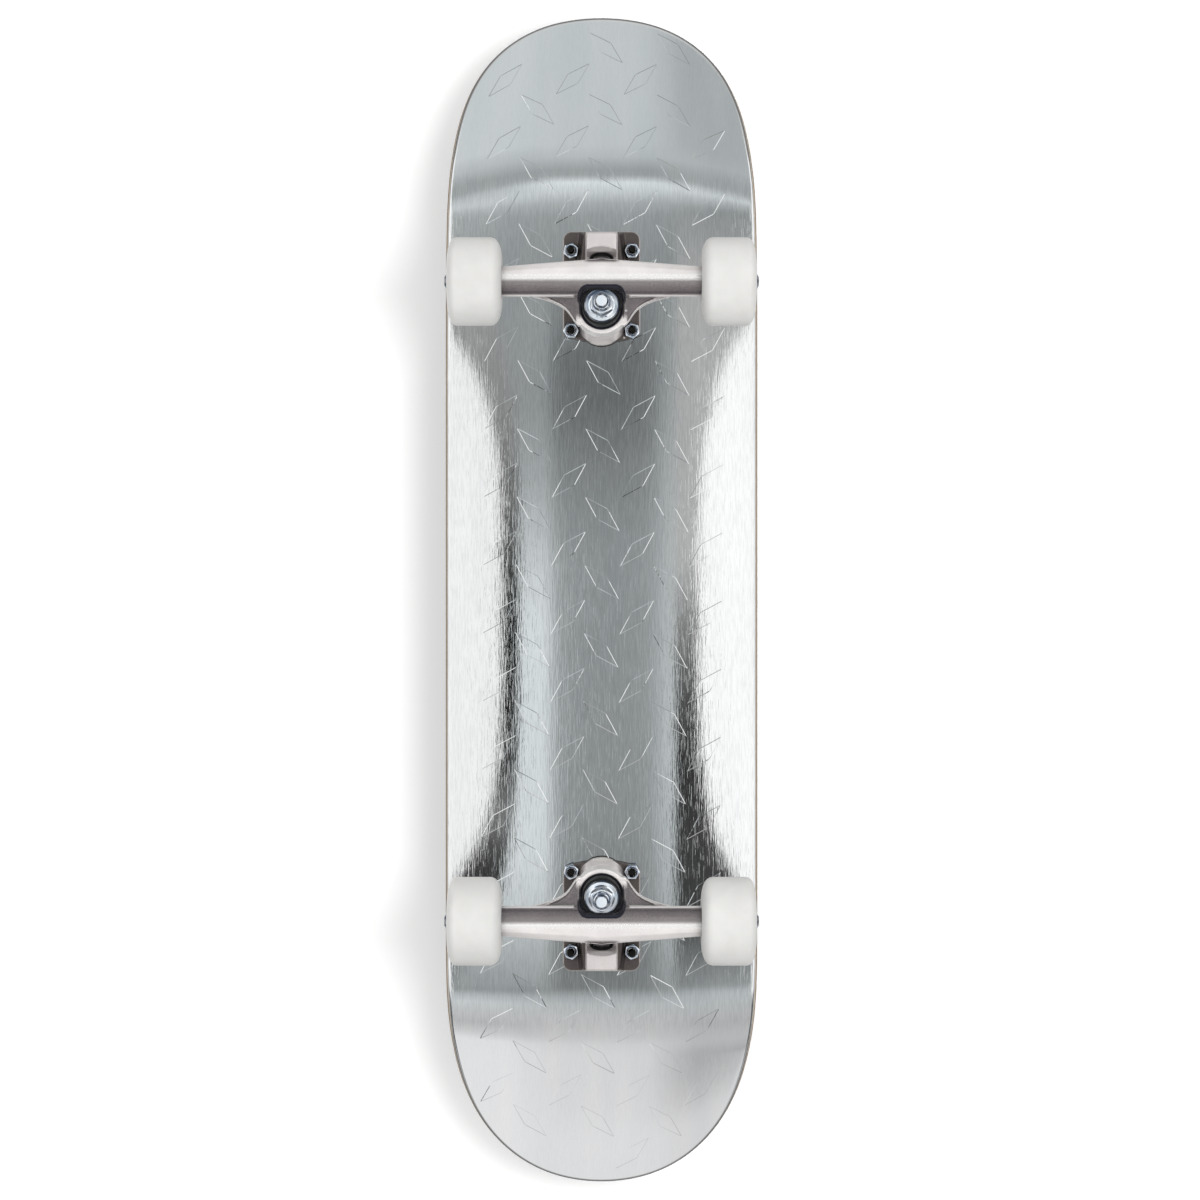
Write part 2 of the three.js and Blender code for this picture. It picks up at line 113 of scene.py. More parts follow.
class Shader:
    """A node tree with one principled surface, and short ways to add nodes to it."""

    def __init__(self, name, **surface):
        self.material = bpy.data.materials.new(name)
        self.material.use_nodes = True
        self.tree = self.material.node_tree
        self.surface = self.tree.nodes["Principled BSDF"]
        self.set(self.surface, **surface)

    def feed(self, socket, value):
        """Links an input to an output, or gives it a plain value."""
        if isinstance(value, bpy.types.NodeSocket):
            self.tree.links.new(value, socket)
        elif socket.type == "RGBA" and len(value) == 3:
            socket.default_value = (*value, 1)
        else:
            socket.default_value = value

    def set(self, node, **values):
        for name, value in values.items():
            self.feed(node.inputs[name.replace("_", " ")], value)

    def node(self, kind, **inputs):
        made = self.tree.nodes.new("ShaderNode" + kind)
        self.set(made, **inputs)
        return made

    def place(self, scale=(1, 1, 1)):
        """Object coordinates in millimetres, stretched by scale."""
        coords = self.node("TexCoord").outputs["Object"]
        mapping = self.node("Mapping", Vector=coords)
        mapping.inputs["Scale"].default_value = [s / MM for s in scale]
        return mapping.outputs["Vector"]

    def noise(self, scale=(1, 1, 1), detail=2.0, roughness=0.5, distortion=0.0):
        return self.node("TexNoise", Vector=self.place(scale), Scale=1.0, Detail=detail,
                         Roughness=roughness, Distortion=distortion).outputs["Fac"]

    def math(self, operation, a, b=0.0):
        made = self.node("Math")
        made.operation = operation
        for socket, value in zip(made.inputs, (a, b)):
            self.feed(socket, value)
        return made.outputs[0]

    def ramp(self, factor, stops):
        """Colours or grey levels at places from 0 to 1."""
        made = self.node("ValToRGB", Fac=factor)
        elements = made.color_ramp.elements
        while len(elements) < len(stops):
            elements.new(0.5)
        for element, (position, colour) in zip(elements, stops):
            element.position = position
            element.color = (*colour, 1) if hasattr(colour, "__len__") else (colour, colour, colour, 1)
        return made.outputs["Color"]

    def mix(self, factor, a, b, blend="MIX"):
        made = self.node("Mix")
        made.data_type = "RGBA"
        made.blend_type = blend
        for index, value in ((0, factor), (6, a), (7, b)):
            self.feed(made.inputs[index], value)
        return made.outputs[2]

    def range(self, value, low, high, to_low=0.0, to_high=1.0, smooth=True):
        made = self.node("MapRange", Value=value, From_Min=low, From_Max=high, To_Min=to_low, To_Max=to_high)
        made.interpolation_type = "SMOOTHSTEP" if smooth else "LINEAR"
        return made.outputs["Result"]

    def bump(self, height, depth_mm, strength=1.0, under=None):
        inputs = dict(Height=height, Strength=strength, Distance=depth_mm * MM)
        if under is not None:
            inputs["Normal"] = under
        return self.node("Bump", **inputs).outputs["Normal"]

    def attribute(self, name):
        made = self.node("Attribute")
        made.attribute_name = name
        return made.outputs["Fac"]


# ---- Materials ------------------------------------------------------------------------------

def foil_material():
    """Bright foil, brushed along the board: fine fibres sway the reflection from side to side."""
    s = Shader("foil", Metallic=1.0)
    along = s.math("ABSOLUTE", s.node("SeparateXYZ", Vector=s.place()).outputs["X"])
    brushing = s.range(along, 281, 297, 1.0, 0.25)
    fibres = s.noise((0.10, 1.0, 0.3), detail=2, roughness=0.55)
    strands = s.noise((0.03, 0.30, 0.1), detail=1, roughness=0.5)
    tint = s.noise((0.006, 0.05, 0.02), detail=2)
    colour = s.ramp(tint, [(0.3, (0.845, 0.86, 0.865)), (0.7, (0.90, 0.905, 0.905))])
    wear = s.range(fibres, 0.3, 0.65, 0.90, 1.0)
    s.set(s.surface, Base_Color=s.mix(brushing, colour, s.mix(1.0, colour, wear, "MULTIPLY")))
    s.set(s.surface, Roughness=s.range(fibres, 0.3, 0.75, 0.035, 0.085))
    scratches = s.range(s.noise((0.07, 1.7, 0.3), detail=1), 0.60, 0.72)
    brushed = s.bump(strands, 0.022, strength=brushing)
    brushed = s.bump(fibres, 0.027, strength=brushing, under=brushed)
    brushed = s.bump(scratches, 0.007, strength=brushing, under=brushed)
    s.set(s.surface, Normal=brushed)
    return s.material


def maple_material():
    """Seven maple plies, shown along the deck's edge by the height through the deck."""
    s = Shader("maple_plies")
    ply = s.math("ADD", s.math("DIVIDE", s.math("SUBTRACT", s.attribute("ply"), 0.7), 1.72), 1.0)
    which = s.math("FLOOR", ply)
    within = s.math("FRACT", ply)
    grain = s.noise((0.05, 0.05, 2.5), detail=6, roughness=0.65, distortion=0.4)
    cross = s.math("PINGPONG", which, 1.0)
    along = s.ramp(grain, [(0.25, (0.72, 0.60, 0.44)), (0.75, (0.86, 0.77, 0.62))])
    # Every other ply is a dark stained veneer, its brown deepened as painted shade for the deck's shaded
    # side.
    dark_ply_and_shade = s.ramp(grain, [(0.25, (0.17, 0.12, 0.08)), (0.75, (0.27, 0.20, 0.14))])
    wood = s.mix(cross, along, dark_ply_and_shade)
    glue = s.range(s.math("ABSOLUTE", s.math("SUBTRACT", within, 0.5)), 0.44, 0.5, 0.0, 0.75)
    s.set(s.surface, Base_Color=s.mix(glue, wood, (0.16, 0.09, 0.05)))
    s.set(s.surface, Roughness=s.range(grain, 0.2, 0.8, 0.38, 0.6), Normal=s.bump(grain, 0.12))
    return s.material


def grip_material():
    """Black grit in a binder, with a few bright grains and paler worn patches."""
    s = Shader("grip_grit")
    grit = s.node("TexVoronoi", Vector=s.place((1.9, 1.9, 1.9)), Scale=1.0)
    grains = s.range(grit.outputs["Distance"], 0.0, 0.7, 1.0, 0.0)
    sparkle = s.range(s.node("SeparateColor", Color=grit.outputs["Color"]).outputs["Red"], 0.90, 0.97)
    dust = s.noise((0.03, 0.03, 0.03), detail=5, roughness=0.65)
    base = s.ramp(dust, [(0.35, 0.010), (0.75, 0.022)])
    speck = s.math("MULTIPLY", sparkle, grains)
    s.set(s.surface, Base_Color=s.mix(speck, base, (0.10, 0.10, 0.105)))
    s.set(s.surface, Roughness=s.range(speck, 0.0, 1.0, 0.92, 0.45))
    s.set(s.surface, Normal=s.bump(grains, 0.35, under=s.bump(s.noise((0.8, 0.8, 0.8), detail=4), 0.3)))
    return s.material


def cast_material(name, bright, dark_cast_and_shade, edge):
    """Cast aluminium by its tone: tumbled bright at 0, speckled and darker at 1, flat dark at 2; the dark of
    1 is partly and of 2 wholly painted shade. Edges lighten, part rubbed wear and part painted highlight;
    corners get painted shade.
    """
    s = Shader(name)
    tone = s.attribute("tone")
    as_cast_with_shade = s.math("MINIMUM", tone, 1.0)
    fine = s.noise((2.0, 2.0, 2.0), detail=4, roughness=0.7)
    broad = s.noise((0.06, 0.06, 0.06), detail=3)
    speck = s.range(fine, 0.3, 0.7)
    # Tone up to 1 mixes towards the dark as-cast colour, which is partly painted shade.
    colour = s.mix(as_cast_with_shade, s.mix(speck, bright[1], bright[0]), s.mix(speck, dark_cast_and_shade[1], dark_cast_and_shade[0]))
    colour = s.mix(1.0, colour, s.range(broad, 0.3, 0.7, 0.90, 1.0), "MULTIPLY")
    # Convex edges and the given highlight lines lighten towards the edge colour: partly rubbed wear, partly
    # painted highlight.
    rubbed_and_highlight = s.range(s.node("NewGeometry").outputs["Pointiness"], 0.52, 0.57)
    rubbed_and_highlight = s.math("MAXIMUM", rubbed_and_highlight, s.attribute("ridge"))
    colour = s.mix(rubbed_and_highlight, colour, edge)
    # Tones past 1 fade into a flat navy dark: painted shade.
    colour = s.mix(s.math("SUBTRACT", s.math("MAXIMUM", tone, 1.0), 1.0), colour, (0.028, 0.028, 0.046))
    # Painted shade: corners and hollows darken by ambient occlusion.
    corner = s.node("AmbientOcclusion", Distance=9 * MM)
    corner.samples = 8
    colour = s.mix(1.0, colour, s.range(corner.outputs["AO"], 0.15, 0.85, 0.35, 1.0), "MULTIPLY")
    s.set(s.surface, Base_Color=colour, Metallic=s.range(tone, 0.0, 1.0, 0.45, 0.8))
    coarse = s.math("ADD", s.range(fine, 0.25, 0.75, 0.26, 0.40), s.math("MULTIPLY", as_cast_with_shade, 0.06))
    s.set(s.surface, Roughness=s.math("SUBTRACT", coarse, s.math("MULTIPLY", rubbed_and_highlight, 0.12)))
    under = s.bump(s.noise((0.35, 0.35, 0.35), detail=3), 0.10)
    bumpy = s.bump(fine, 0.07, under=under)
    s.set(s.surface, Normal=bumpy)
    s.tree.links.new(s.range(tone, 0.0, 1.0, 0.25, 1.0), bumpy.node.inputs["Strength"])
    return s.material


def plated_material(name, colour, roughness, tint, end_metallic=1.0):
    """Bright plating: clouds of colour, handling marks, painted reflections that make each facet dark or
    light, and painted shade in the corners.
    """
    s = Shader(name)
    clouds = s.noise((0.25, 0.25, 0.25), detail=3)
    marks = s.noise((3.0, 3.0, 0.6), detail=4, roughness=0.7)
    # Painted shade: corners darken by ambient occlusion.
    corner = s.node("AmbientOcclusion", Distance=2.5 * MM)
    corner.samples = 8
    painted_corner_shade = s.range(corner.outputs["AO"], 0.35, 0.85, 0.10, 1.0)
    clean = s.mix(s.range(clouds, 0.35, 0.7), colour, tint)
    # Painted reflections: each facet's colour is set by its direction, from dark blue to white; flat ends are
    # left out.
    facing = s.node("TexCoord").outputs["Normal"]
    painted_facet_reflections = s.node("TexNoise", Vector=facing, Scale=1.9, Detail=1.0).outputs["Fac"]
    flat_end = s.node("SeparateXYZ", Vector=facing).outputs["Z"]
    shade = s.ramp(painted_facet_reflections, [(0.42, (0.18, 0.22, 0.31)), (0.57, (1.0, 1.0, 1.0))])
    clean = s.mix(1.0, clean, s.mix(s.range(flat_end, -0.99, -0.95), (1.0, 1.0, 1.0), shade), "MULTIPLY")
    s.set(s.surface, Metallic=s.range(flat_end, -0.995, -0.97, end_metallic, 1.0))
    s.set(s.surface, Base_Color=s.mix(1.0, clean, painted_corner_shade, "MULTIPLY"))
    s.set(s.surface, Roughness=s.range(marks, 0.3, 0.7, roughness, roughness + 0.12))
    s.set(s.surface, Normal=s.bump(marks, 0.015))
    return s.material


def moulded_material(name, low, high, roughness, glow=0.0, shine=0.5):
    """Cast urethane or rubber: faint mottling, soft sheen, a very fine skin."""
    s = Shader(name)
    s.set(s.surface, Subsurface_Weight=glow, Subsurface_Radius=(1.0, 0.9, 0.75), Subsurface_Scale=2.5 * MM)
    s.set(s.surface, Specular_IOR_Level=shine)
    mottle = s.noise((0.05, 0.05, 0.05), detail=4, roughness=0.6)
    skin = s.noise((2.5, 2.5, 2.5), detail=3)
    s.set(s.surface, Base_Color=s.mix(s.range(mottle, 0.3, 0.7), low, high))
    s.set(s.surface, Roughness=s.range(skin, 0.3, 0.7, roughness, roughness + 0.1))
    s.set(s.surface, Normal=s.bump(skin, 0.02))
    return s.material


MATERIALS = {
    "foil": foil_material(),
    "maple": maple_material(),
    "grip": grip_material(),
    # Each casting gets tumbled colours, darker as-cast colours that are partly painted shade, and an edge
    # colour for rubbed wear and painted highlight.
    "hanger_cast": cast_material("hanger_cast", ((0.93, 0.89, 0.875), (0.87, 0.83, 0.815)),
                                 ((0.46, 0.405, 0.40), (0.17, 0.15, 0.155)), (0.98, 0.96, 0.945)),
    "plate_cast": cast_material("plate_cast", ((0.80, 0.75, 0.74), (0.74, 0.69, 0.68)),
                                ((0.20, 0.17, 0.16), (0.085, 0.072, 0.070)), (0.80, 0.75, 0.72)),
    "zinc": plated_material("zinc_plate", (0.92, 0.96, 1.0), 0.05, (0.78, 0.86, 0.96), 0.45),
    "steel": plated_material("ground_steel", (0.62, 0.63, 0.65), 0.24, (0.70, 0.70, 0.70)),
    "dark_steel": plated_material("dark_steel", (0.10, 0.10, 0.11), 0.35, (0.16, 0.16, 0.17)),
    "black_steel": plated_material("black_steel", (0.020, 0.019, 0.018), 0.35, (0.035, 0.033, 0.032)),
    "bushing": moulded_material("black_urethane", (0.006, 0.006, 0.007), (0.012, 0.012, 0.012), 0.40,
                                shine=0.2),
    "urethane": moulded_material("white_urethane", (0.60, 0.595, 0.58), (0.64, 0.635, 0.62), 0.42, 0.2),
    "nylon": moulded_material("nylon_insert", (0.70, 0.72, 0.74), (0.80, 0.81, 0.82), 0.45, 0.1),
}


# ---- Mesh helpers ---------------------------------------------------------------------------
# A shape is (points in mm, faces, material index per face or None).

def mesh_of(name, points, faces):
    mesh = bpy.data.meshes.new(name)
    mesh.from_pydata([tuple(p) for p in points], [], [tuple(f) for f in faces])
    return mesh


def added(name, data):
    """A new object in the scene."""
    thing = bpy.data.objects.new(name, data)
    bpy.context.scene.collection.objects.link(thing)
    return thing


def build(name, shape, slot_name, body, replaces=(), materials=None, sharp=35, attributes=None, bend=None):
    """Makes a piece from a shape. It rides on a body, or with bend=(other body, start, end) it is soft
    and turns from its body to the other one between two points."""
    points, faces, indices = shape
    mesh = mesh_of(name, np.asarray(points) * MM, faces)
    work = bmesh.new()
    work.from_mesh(mesh)
    bmesh.ops.recalc_face_normals(work, faces=work.faces)
    work.to_mesh(mesh)
    work.free()
    for key in materials or [slot_name]:
        mesh.materials.append(MATERIALS[key])
    if indices is not None:
        mesh.polygons.foreach_set("material_index", indices)
    for key, values in (attributes or {}).items():
        mesh.attributes.new(key, "FLOAT", "POINT").data.foreach_set("value", np.asarray(values, np.float32))
    mesh.shade_smooth()
    mesh.set_sharp_from_angle(angle=math.radians(sharp))
    piece = added(name, mesh)
    if bend:
        other, start, end = bend
        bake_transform(piece, body, other, start=tuple(Vector(start) * MM), end=tuple(Vector(end) * MM))
    else:
        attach(piece, body)
    if replaces:
        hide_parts(*replaces)
    return piece


def joined(*shapes):
    """Several shapes as one list of points and faces."""
    points, faces, indices, start = [], [], [], 0
    for shape_points, shape_faces, shape_indices in shapes:
        points.append(np.asarray(shape_points, float))
        faces += [tuple(i + start for i in face) for face in shape_faces]
        indices += list(shape_indices if shape_indices is not None else [0] * len(shape_faces))
        start += len(shape_points)
    return np.vstack(points), faces, indices


def moved(shape, matrix):
    points = np.asarray(shape[0], float)
    array = np.array(matrix)
    return points @ array[:3, :3].T + array[:3, 3], shape[1], shape[2]


def rounded(points, radii, steps=4):
    """An open line of 2-D points with each inner corner turned into an arc of the given radius."""
    count = len(points)
    if not hasattr(radii, "__len__"):
        radii = [radii] * count
    out = [np.array(points[0], float)]
    for i in range(1, count - 1):
        before, corner, after = (np.array(points[j], float) for j in (i - 1, i, i + 1))
        into, away = before - corner, after - corner
        lengths = np.linalg.norm(into), np.linalg.norm(away)
        into, away = into / lengths[0], away / lengths[1]
        angle = math.acos(np.clip(into @ away, -1, 1))
        if radii[i] <= 0 or angle > math.radians(178):
            out.append(corner)
            continue
        reach = min(radii[i] / math.tan(angle / 2), 0.48 * lengths[0], 0.48 * lengths[1])
        radius = reach * math.tan(angle / 2)
        bisector = (into + away) / np.linalg.norm(into + away)
        centre = corner + bisector * radius / math.sin(angle / 2)
        start = corner + into * reach - centre
        end = corner + away * reach - centre
        for k in range(steps + 1):
            t = k / steps
            spoke = start * (1 - t) + end * t
            out.append(centre + spoke / np.linalg.norm(spoke) * radius)
    out.append(np.array(points[-1], float))
    return out


def turned(profile, segments=64, radius_at=None, materials_at=None):
    """A profile of (radius, height) turned about Z. With its ends off the axis, it closes on itself."""
    profile = [tuple(map(float, p)) for p in profile]
    on_axis = profile[0][0] < 1e-6 and profile[-1][0] < 1e-6
    angles = np.arange(segments) * 2 * math.pi / segments
    points, rows = [], []
    for radius, height in profile:
        if radius < 1e-6:
            rows.append([len(points)])
            points.append((0, 0, height))
            continue
        rows.append(list(range(len(points), len(points) + segments)))
        for angle in angles:
            r, z = radius_at(radius, height, angle) if radius_at else (radius, height)
            points.append((r * math.cos(angle), r * math.sin(angle), z))
    faces, indices = [], []
    pairs = list(range(len(rows) - 1)) + ([] if on_axis else [len(rows) - 1])
    for k in pairs:
        low, high = rows[k], rows[(k + 1) % len(rows)]
        material = materials_at(k) if materials_at else 0
        for i in range(segments):
            j = (i + 1) % segments
            corners = [low[i % len(low)], low[j % len(low)], high[j % len(high)], high[i % len(high)]]
            face = [c for n, c in enumerate(corners) if c not in corners[:n]]
            if len(face) > 2:
                faces.append(tuple(face))
                indices.append(material)
    return np.array(points), faces, indices


def drill(radius, low, high, segments):
    """A plain round cutter."""
    return turned([(0, low), (radius, low), (radius, high), (0, high)], segments)


def hex_radius(flats, middle_height):
    """Turns the widest rows of a profile into a hexagon whose corners are cut back at thirty degrees."""
    def radius_at(radius, height, angle):
        if radius < flats * 0.499:
            return radius, height
        sector = (angle + math.pi / 6) % (math.pi / 3) - math.pi / 6
        corner = flats / 2 / math.cos(sector)
        cut = (corner - flats * 0.485) * math.tan(math.radians(30))
        return corner, height - cut if height > middle_height else height + cut
    return radius_at


def nut_shape(flats, bore, height):
    """A locking nut: chamfered hexagon, rounded collar and nylon ring, standing on z = 0."""
    half, hex_top = flats / 2, height * 0.66
    hexagon = [(bore, 0.35), (bore + 0.35, 0.0), (half * 0.97, 0.0), (half, 0.02),
               (half, hex_top - 0.02), (half * 0.97, hex_top)]
    collar = [(half * 0.86, hex_top + 0.05), (half * 0.82, hex_top + 0.4), (half * 0.80, height - 0.9),
              (half * 0.75, height - 0.3), (half * 0.66, height), (half * 0.60, height - 0.3)]
    nylon = [(half * 0.58, height - 0.7), (bore + 0.1, height - 0.8), (bore, height - 1.1)]
    first = len(hexagon) + len(collar)
    return turned(hexagon + collar + nylon, 72, hex_radius(flats, hex_top / 2),
                  lambda k: int(first <= k < first + 2))


def threaded(radius, low, high, pitch=1.0, depth=0.28):
    """The side of a threaded rod as a rippled profile from low to high."""
    count = max(2, int((high - low) / pitch))
    step = (high - low) / count
    points = []
    for i in range(count):
        z = low + i * step
        points += [(radius - depth, z + step * 0.05), (radius, z + step * 0.45), (radius, z + step * 0.6)]
    return points


def loft(sections):
    """Closed sections of equal point count, joined in order and capped."""
    count = len(sections[0])
    points = np.array([p for section in sections for p in section], float)
    last = (len(sections) - 1) * count
    caps = [tuple(range(count))[::-1], tuple(range(last, last + count))]
    return points, stitched(count, len(sections)) + caps, None


def stitched(count, rows):
    """The quads between neighbouring rows of count points, each row closed on itself."""
    faces = []
    for start in range(0, (rows - 1) * count, count):
        for i in range(count):
            j = (i + 1) % count
            faces.append((start + i, start + j, start + count + j, start + count + i))
    return faces


def extruded(outline, low, high, edge=0.0, steps=3):
    """A closed outline of (x, y) between two heights, with rounded rims of the given size."""
    outline = np.array(outline, float)
    following, previous = np.roll(outline, -1, 0), np.roll(outline, 1, 0)
    tangent = following - previous
    normal = np.stack([tangent[:, 1], -tangent[:, 0]], 1)
    normal /= np.linalg.norm(normal, axis=1)[:, None] + 1e-12
    area = np.sum(outline[:, 0] * following[:, 1] - following[:, 0] * outline[:, 1])
    normal *= np.sign(area)
    rows = []
    turns = [i / steps * math.pi / 2 for i in range(steps + 1)] if edge > 0 else [math.pi / 2]
    for a in turns:
        rows.append((edge * (1 - math.sin(a)), low + edge * (1 - math.cos(a))))
    for a in reversed(turns):
        rows.append((edge * (1 - math.sin(a)), high - edge * (1 - math.cos(a))))
    return loft([np.column_stack([outline - normal * inset, np.full(len(outline), z)]) for inset, z in rows])


def aimed(start, way):
    """Takes local Z to a direction (du, dw) in the truck's upright plane, from the point (u, w)."""
    z = Vector((way[0], 0, way[1])).normalized()
    y = Vector((0, 1, 0))
    x = y.cross(z)
    matrix = Matrix.Identity(4)
    for column, axis in enumerate((x, y, z)):
        for row in range(3):
            matrix[row][column] = axis[row]
    matrix[0][3], matrix[2][3] = start
    return matrix


ON_KINGPIN = aimed(RING, KINGPIN_WAY)
ON_PIVOT = aimed(PIVOT, PIVOT_WAY)
UPRIGHT_SLAB = Matrix(((1, 0, 0, 0), (0, 0, -1, 0), (0, 1, 0, 0), (0, 0, 0, 1)))   # (u, w, y) to (u, -y, w)
ALONG_Y = Matrix(((1, 0, 0, 0), (0, 0, 1, 0), (0, -1, 0, 0), (0, 0, 0, 1)))         # Z to Y


def temporary(shape):
    """An object that only lives while modifiers work on it."""
    mesh = mesh_of("temporary", shape[0], shape[1])
    work = bmesh.new()
    work.from_mesh(mesh)
    bmesh.ops.triangulate(work, faces=[f for f in work.faces if len(f.verts) > 4])
    bmesh.ops.recalc_face_normals(work, faces=work.faces)
    work.to_mesh(mesh)
    work.free()
    return added("temporary", mesh)


def applied(thing):
    """The mesh of a temporary object with its modifiers applied, as a shape. The object is removed."""
    evaluated = thing.evaluated_get(bpy.context.evaluated_depsgraph_get())
    mesh = bpy.data.meshes.new_from_object(evaluated)
    points = np.zeros(len(mesh.vertices) * 3)
    mesh.vertices.foreach_get("co", points)
    faces = [tuple(p.vertices) for p in mesh.polygons]
    bpy.data.meshes.remove(mesh)
    bpy.data.objects.remove(thing)
    return points.reshape(-1, 3), faces, None


def remeshed(thing, voxel):
    modifier = thing.modifiers.new("voxels", "REMESH")
    modifier.mode = "VOXEL"
    modifier.voxel_size = voxel
    return thing


def cut_away(shape, cuts):
    """A shape less some others."""
    whole = temporary(shape)
    cutters = [temporary(cut) for cut in cuts]
    for cutter in cutters:
        modifier = whole.modifiers.new("cut", "BOOLEAN")
        modifier.operation = "DIFFERENCE"
        modifier.solver = "EXACT"
        modifier.object = cutter
    bpy.context.view_layer.update()
    left = applied(whole)
    for cutter in cutters:
        bpy.data.objects.remove(cutter)
    return left


def cast(solids, cuts, voxel, smooth):
    """One casting: solids melted together, cut, and softened so that every corner has a fillet."""
    whole = applied(remeshed(temporary(joined(*solids)), voxel))
    softened = remeshed(temporary(cut_away(whole, cuts)), voxel)
    modifier = softened.modifiers.new("soften", "SMOOTH")
    modifier.factor = 0.5
    modifier.iterations = smooth
    return applied(softened)


def point_normals(shape):
    """The normal at each point of a shape of quads and triangles."""
    points = np.asarray(shape[0])
    quads = np.array([f[:4] if len(f) > 3 else (*f, f[2]) for f in shape[1]])
    crossed = np.cross(points[quads[:, 2]] - points[quads[:, 0]], points[quads[:, 3]] - points[quads[:, 1]])
    normals = np.zeros_like(points)
    for k in range(4):
        np.add.at(normals, quads[:, k], crossed)
    return normals / (np.linalg.norm(normals, axis=1)[:, None] + 1e-12)


# ---- Board ----------------------------------------------------------------------------------

def concave(y):
    """The cup of the board across its width. It starts gently, so that no crease shows in the foil."""
    past, softness = np.abs(y) - FLAT_HALF, 9.0
    t = (past + np.sqrt(past ** 2 + softness ** 2)) / 2 / (HALF_WIDTH - FLAT_HALF)
    return CONCAVE_RISE * np.minimum(t, 1) ** CONCAVE_POWER


def kick(x):
    """Rise and slope of the underside's centre line at a signed distance from the middle."""
    x = np.asarray(x, float)
    rise, slope = np.zeros_like(x), np.zeros_like(x)
    for end in (NOSE, TAIL):
        full = math.radians(end["kick"])
        along = np.maximum(x * end["sign"] - end["kick_x"], 0)
        arc = end["radius"] * math.sin(full)
        angle = np.arcsin(np.minimum(along, arc) / end["radius"])
        rise += end["radius"] * (1 - np.cos(angle)) + np.maximum(along - arc, 0) * math.tan(full)
        slope += angle
    return rise, slope


def on_board(x, y, height):
    """The place at a height above the wood's underside, square to the bent board."""
    x, y = np.asarray(x, float), np.asarray(y, float)
    rise, slope = kick(x)
    off = height + concave(y)
    return np.stack([x - np.sign(x) * off * np.sin(slope), y, DECK_BOTTOM + rise + off * np.cos(slope)], -1)


def board_outline(count=720):
    """Points evenly spaced round the board, with their outward normals."""
    shares = np.sin(np.linspace(0, math.pi / 2, 400))
    corners = []
    for end in (NOSE, TAIL):
        reach = (1 - shares ** end["roundness"]).clip(0) ** (1 / end["fullness"])
        x = end["sign"] * (end["start"] + (end["tip"] - end["start"]) * reach)
        corners.append(np.column_stack([x, HALF_WIDTH * shares]))
    nose, tail = corners
    upper = np.vstack([nose, tail[::-1]])
    lower = (upper * (1, -1))[::-1]
    loop = np.vstack([upper, lower, upper[:1]])
    length = np.concatenate([[0], np.cumsum(np.linalg.norm(np.diff(loop, axis=0), axis=1))])
    at = np.arange(count) * length[-1] / count
    outline = np.column_stack([np.interp(at, length, loop[:, k]) for k in (0, 1)])
    tangent = np.roll(outline, -1, 0) - np.roll(outline, 1, 0)
    normal = np.column_stack([tangent[:, 1], -tangent[:, 0]])
    normal /= np.linalg.norm(normal, axis=1)[:, None]
    return outline, normal


OUTLINE, OUTWARD = board_outline()


INNER_ROWS = 36                    # rows of faces from the rim of the board to its spine


def board_sheet(rim):
    """A skin over the board: rim is a list of (inset, height), and its last height is carried across."""
    rows = [on_board(*(OUTLINE - OUTWARD * inset).T, height) for inset, height in rim]
    inset, height = rim[-1]
    start = OUTLINE - OUTWARD * inset
    reach = np.abs(start[:, 0])
    spine = np.sign(start[:, 0]) * np.where(reach < 240, reach, 240 + (reach - 240) * 0.6)
    for k in range(1, INNER_ROWS + 1):
        share = 1 - k / INNER_ROWS
        x = spine + (start[:, 0] - spine) * share
        rows.append(on_board(x, start[:, 1] * share, height))
    return rows


def closed_layer(lower_rim, upper_rim):
    """A closed solid whose underside ends in lower_rim and whose top ends in upper_rim, outermost first,
    and the height through the board at each of its points."""
    rows = board_sheet(lower_rim)[::-1] + board_sheet(upper_rim)
    mesh = mesh_of("layer", np.vstack(rows), stitched(len(OUTLINE), len(rows)))
    below, above = [h for _, h in lower_rim], [h for _, h in upper_rim]
    levels = [below[-1]] * INNER_ROWS + below[::-1] + above + [above[-1]] * INNER_ROWS
    levels = np.repeat(levels, len(OUTLINE))
    mesh.attributes.new("level", "FLOAT", "POINT").data.foreach_set("value", levels.astype(np.float32))
    work = bmesh.new()
    work.from_mesh(mesh)
    bmesh.ops.remove_doubles(work, verts=work.verts, dist=0.02)
    level = work.verts.layers.float["level"]
    points = np.array([v.co for v in work.verts])
    faces = [tuple(v.index for v in f.verts) for f in work.faces]
    heights = np.array([v[level] for v in work.verts])
    work.free()
    bpy.data.meshes.remove(mesh)
    return (points, faces, None), heights


def arc_rim(radius, low, high, offset=0.0, steps=6, from_top=False):
    """Insets and heights round a quarter turn, from one angle to another, outermost first."""
    rim = []
    for k in range(steps + 1):
        a = math.radians(high + (low - high) * k / steps)
        inset = radius - (radius + offset) * math.sin(a)
        height = radius - (radius + offset) * math.cos(a)
        rim.append((inset, DECK_THICK - height if from_top else height))
    return rim


BOTTOM_ROUND, TOP_ROUND = 3.2, 2.6
PLY_OVERLAP = 0.28                 # how far the wood reaches into the gaps under the foil and the grip


def make_deck():
    lower = arc_rim(BOTTOM_ROUND, 0, 90)
    upper = arc_rim(TOP_ROUND, 0, 90, from_top=True)
    upper = [(inset, height + PLY_OVERLAP) for inset, height in upper]
    lower = [(inset, height - PLY_OVERLAP) for inset, height in lower]
    shape, heights = closed_layer(lower, upper)
    build("deck_plies", shape, "maple", "board", ["deck"], attributes={"ply": heights}, sharp=50)


def make_foil():
    """The foil wraps the lower edge and stops short of the side."""
    wrap = 30
    outer = arc_rim(BOTTOM_ROUND, 0, wrap, offset=-FOIL_LOW)
    inner = arc_rim(BOTTOM_ROUND, 0, wrap, offset=0.30)
    build("foil_skin", closed_layer(outer, inner)[0], "foil", "board", ["foil_sheet"], sharp=60)


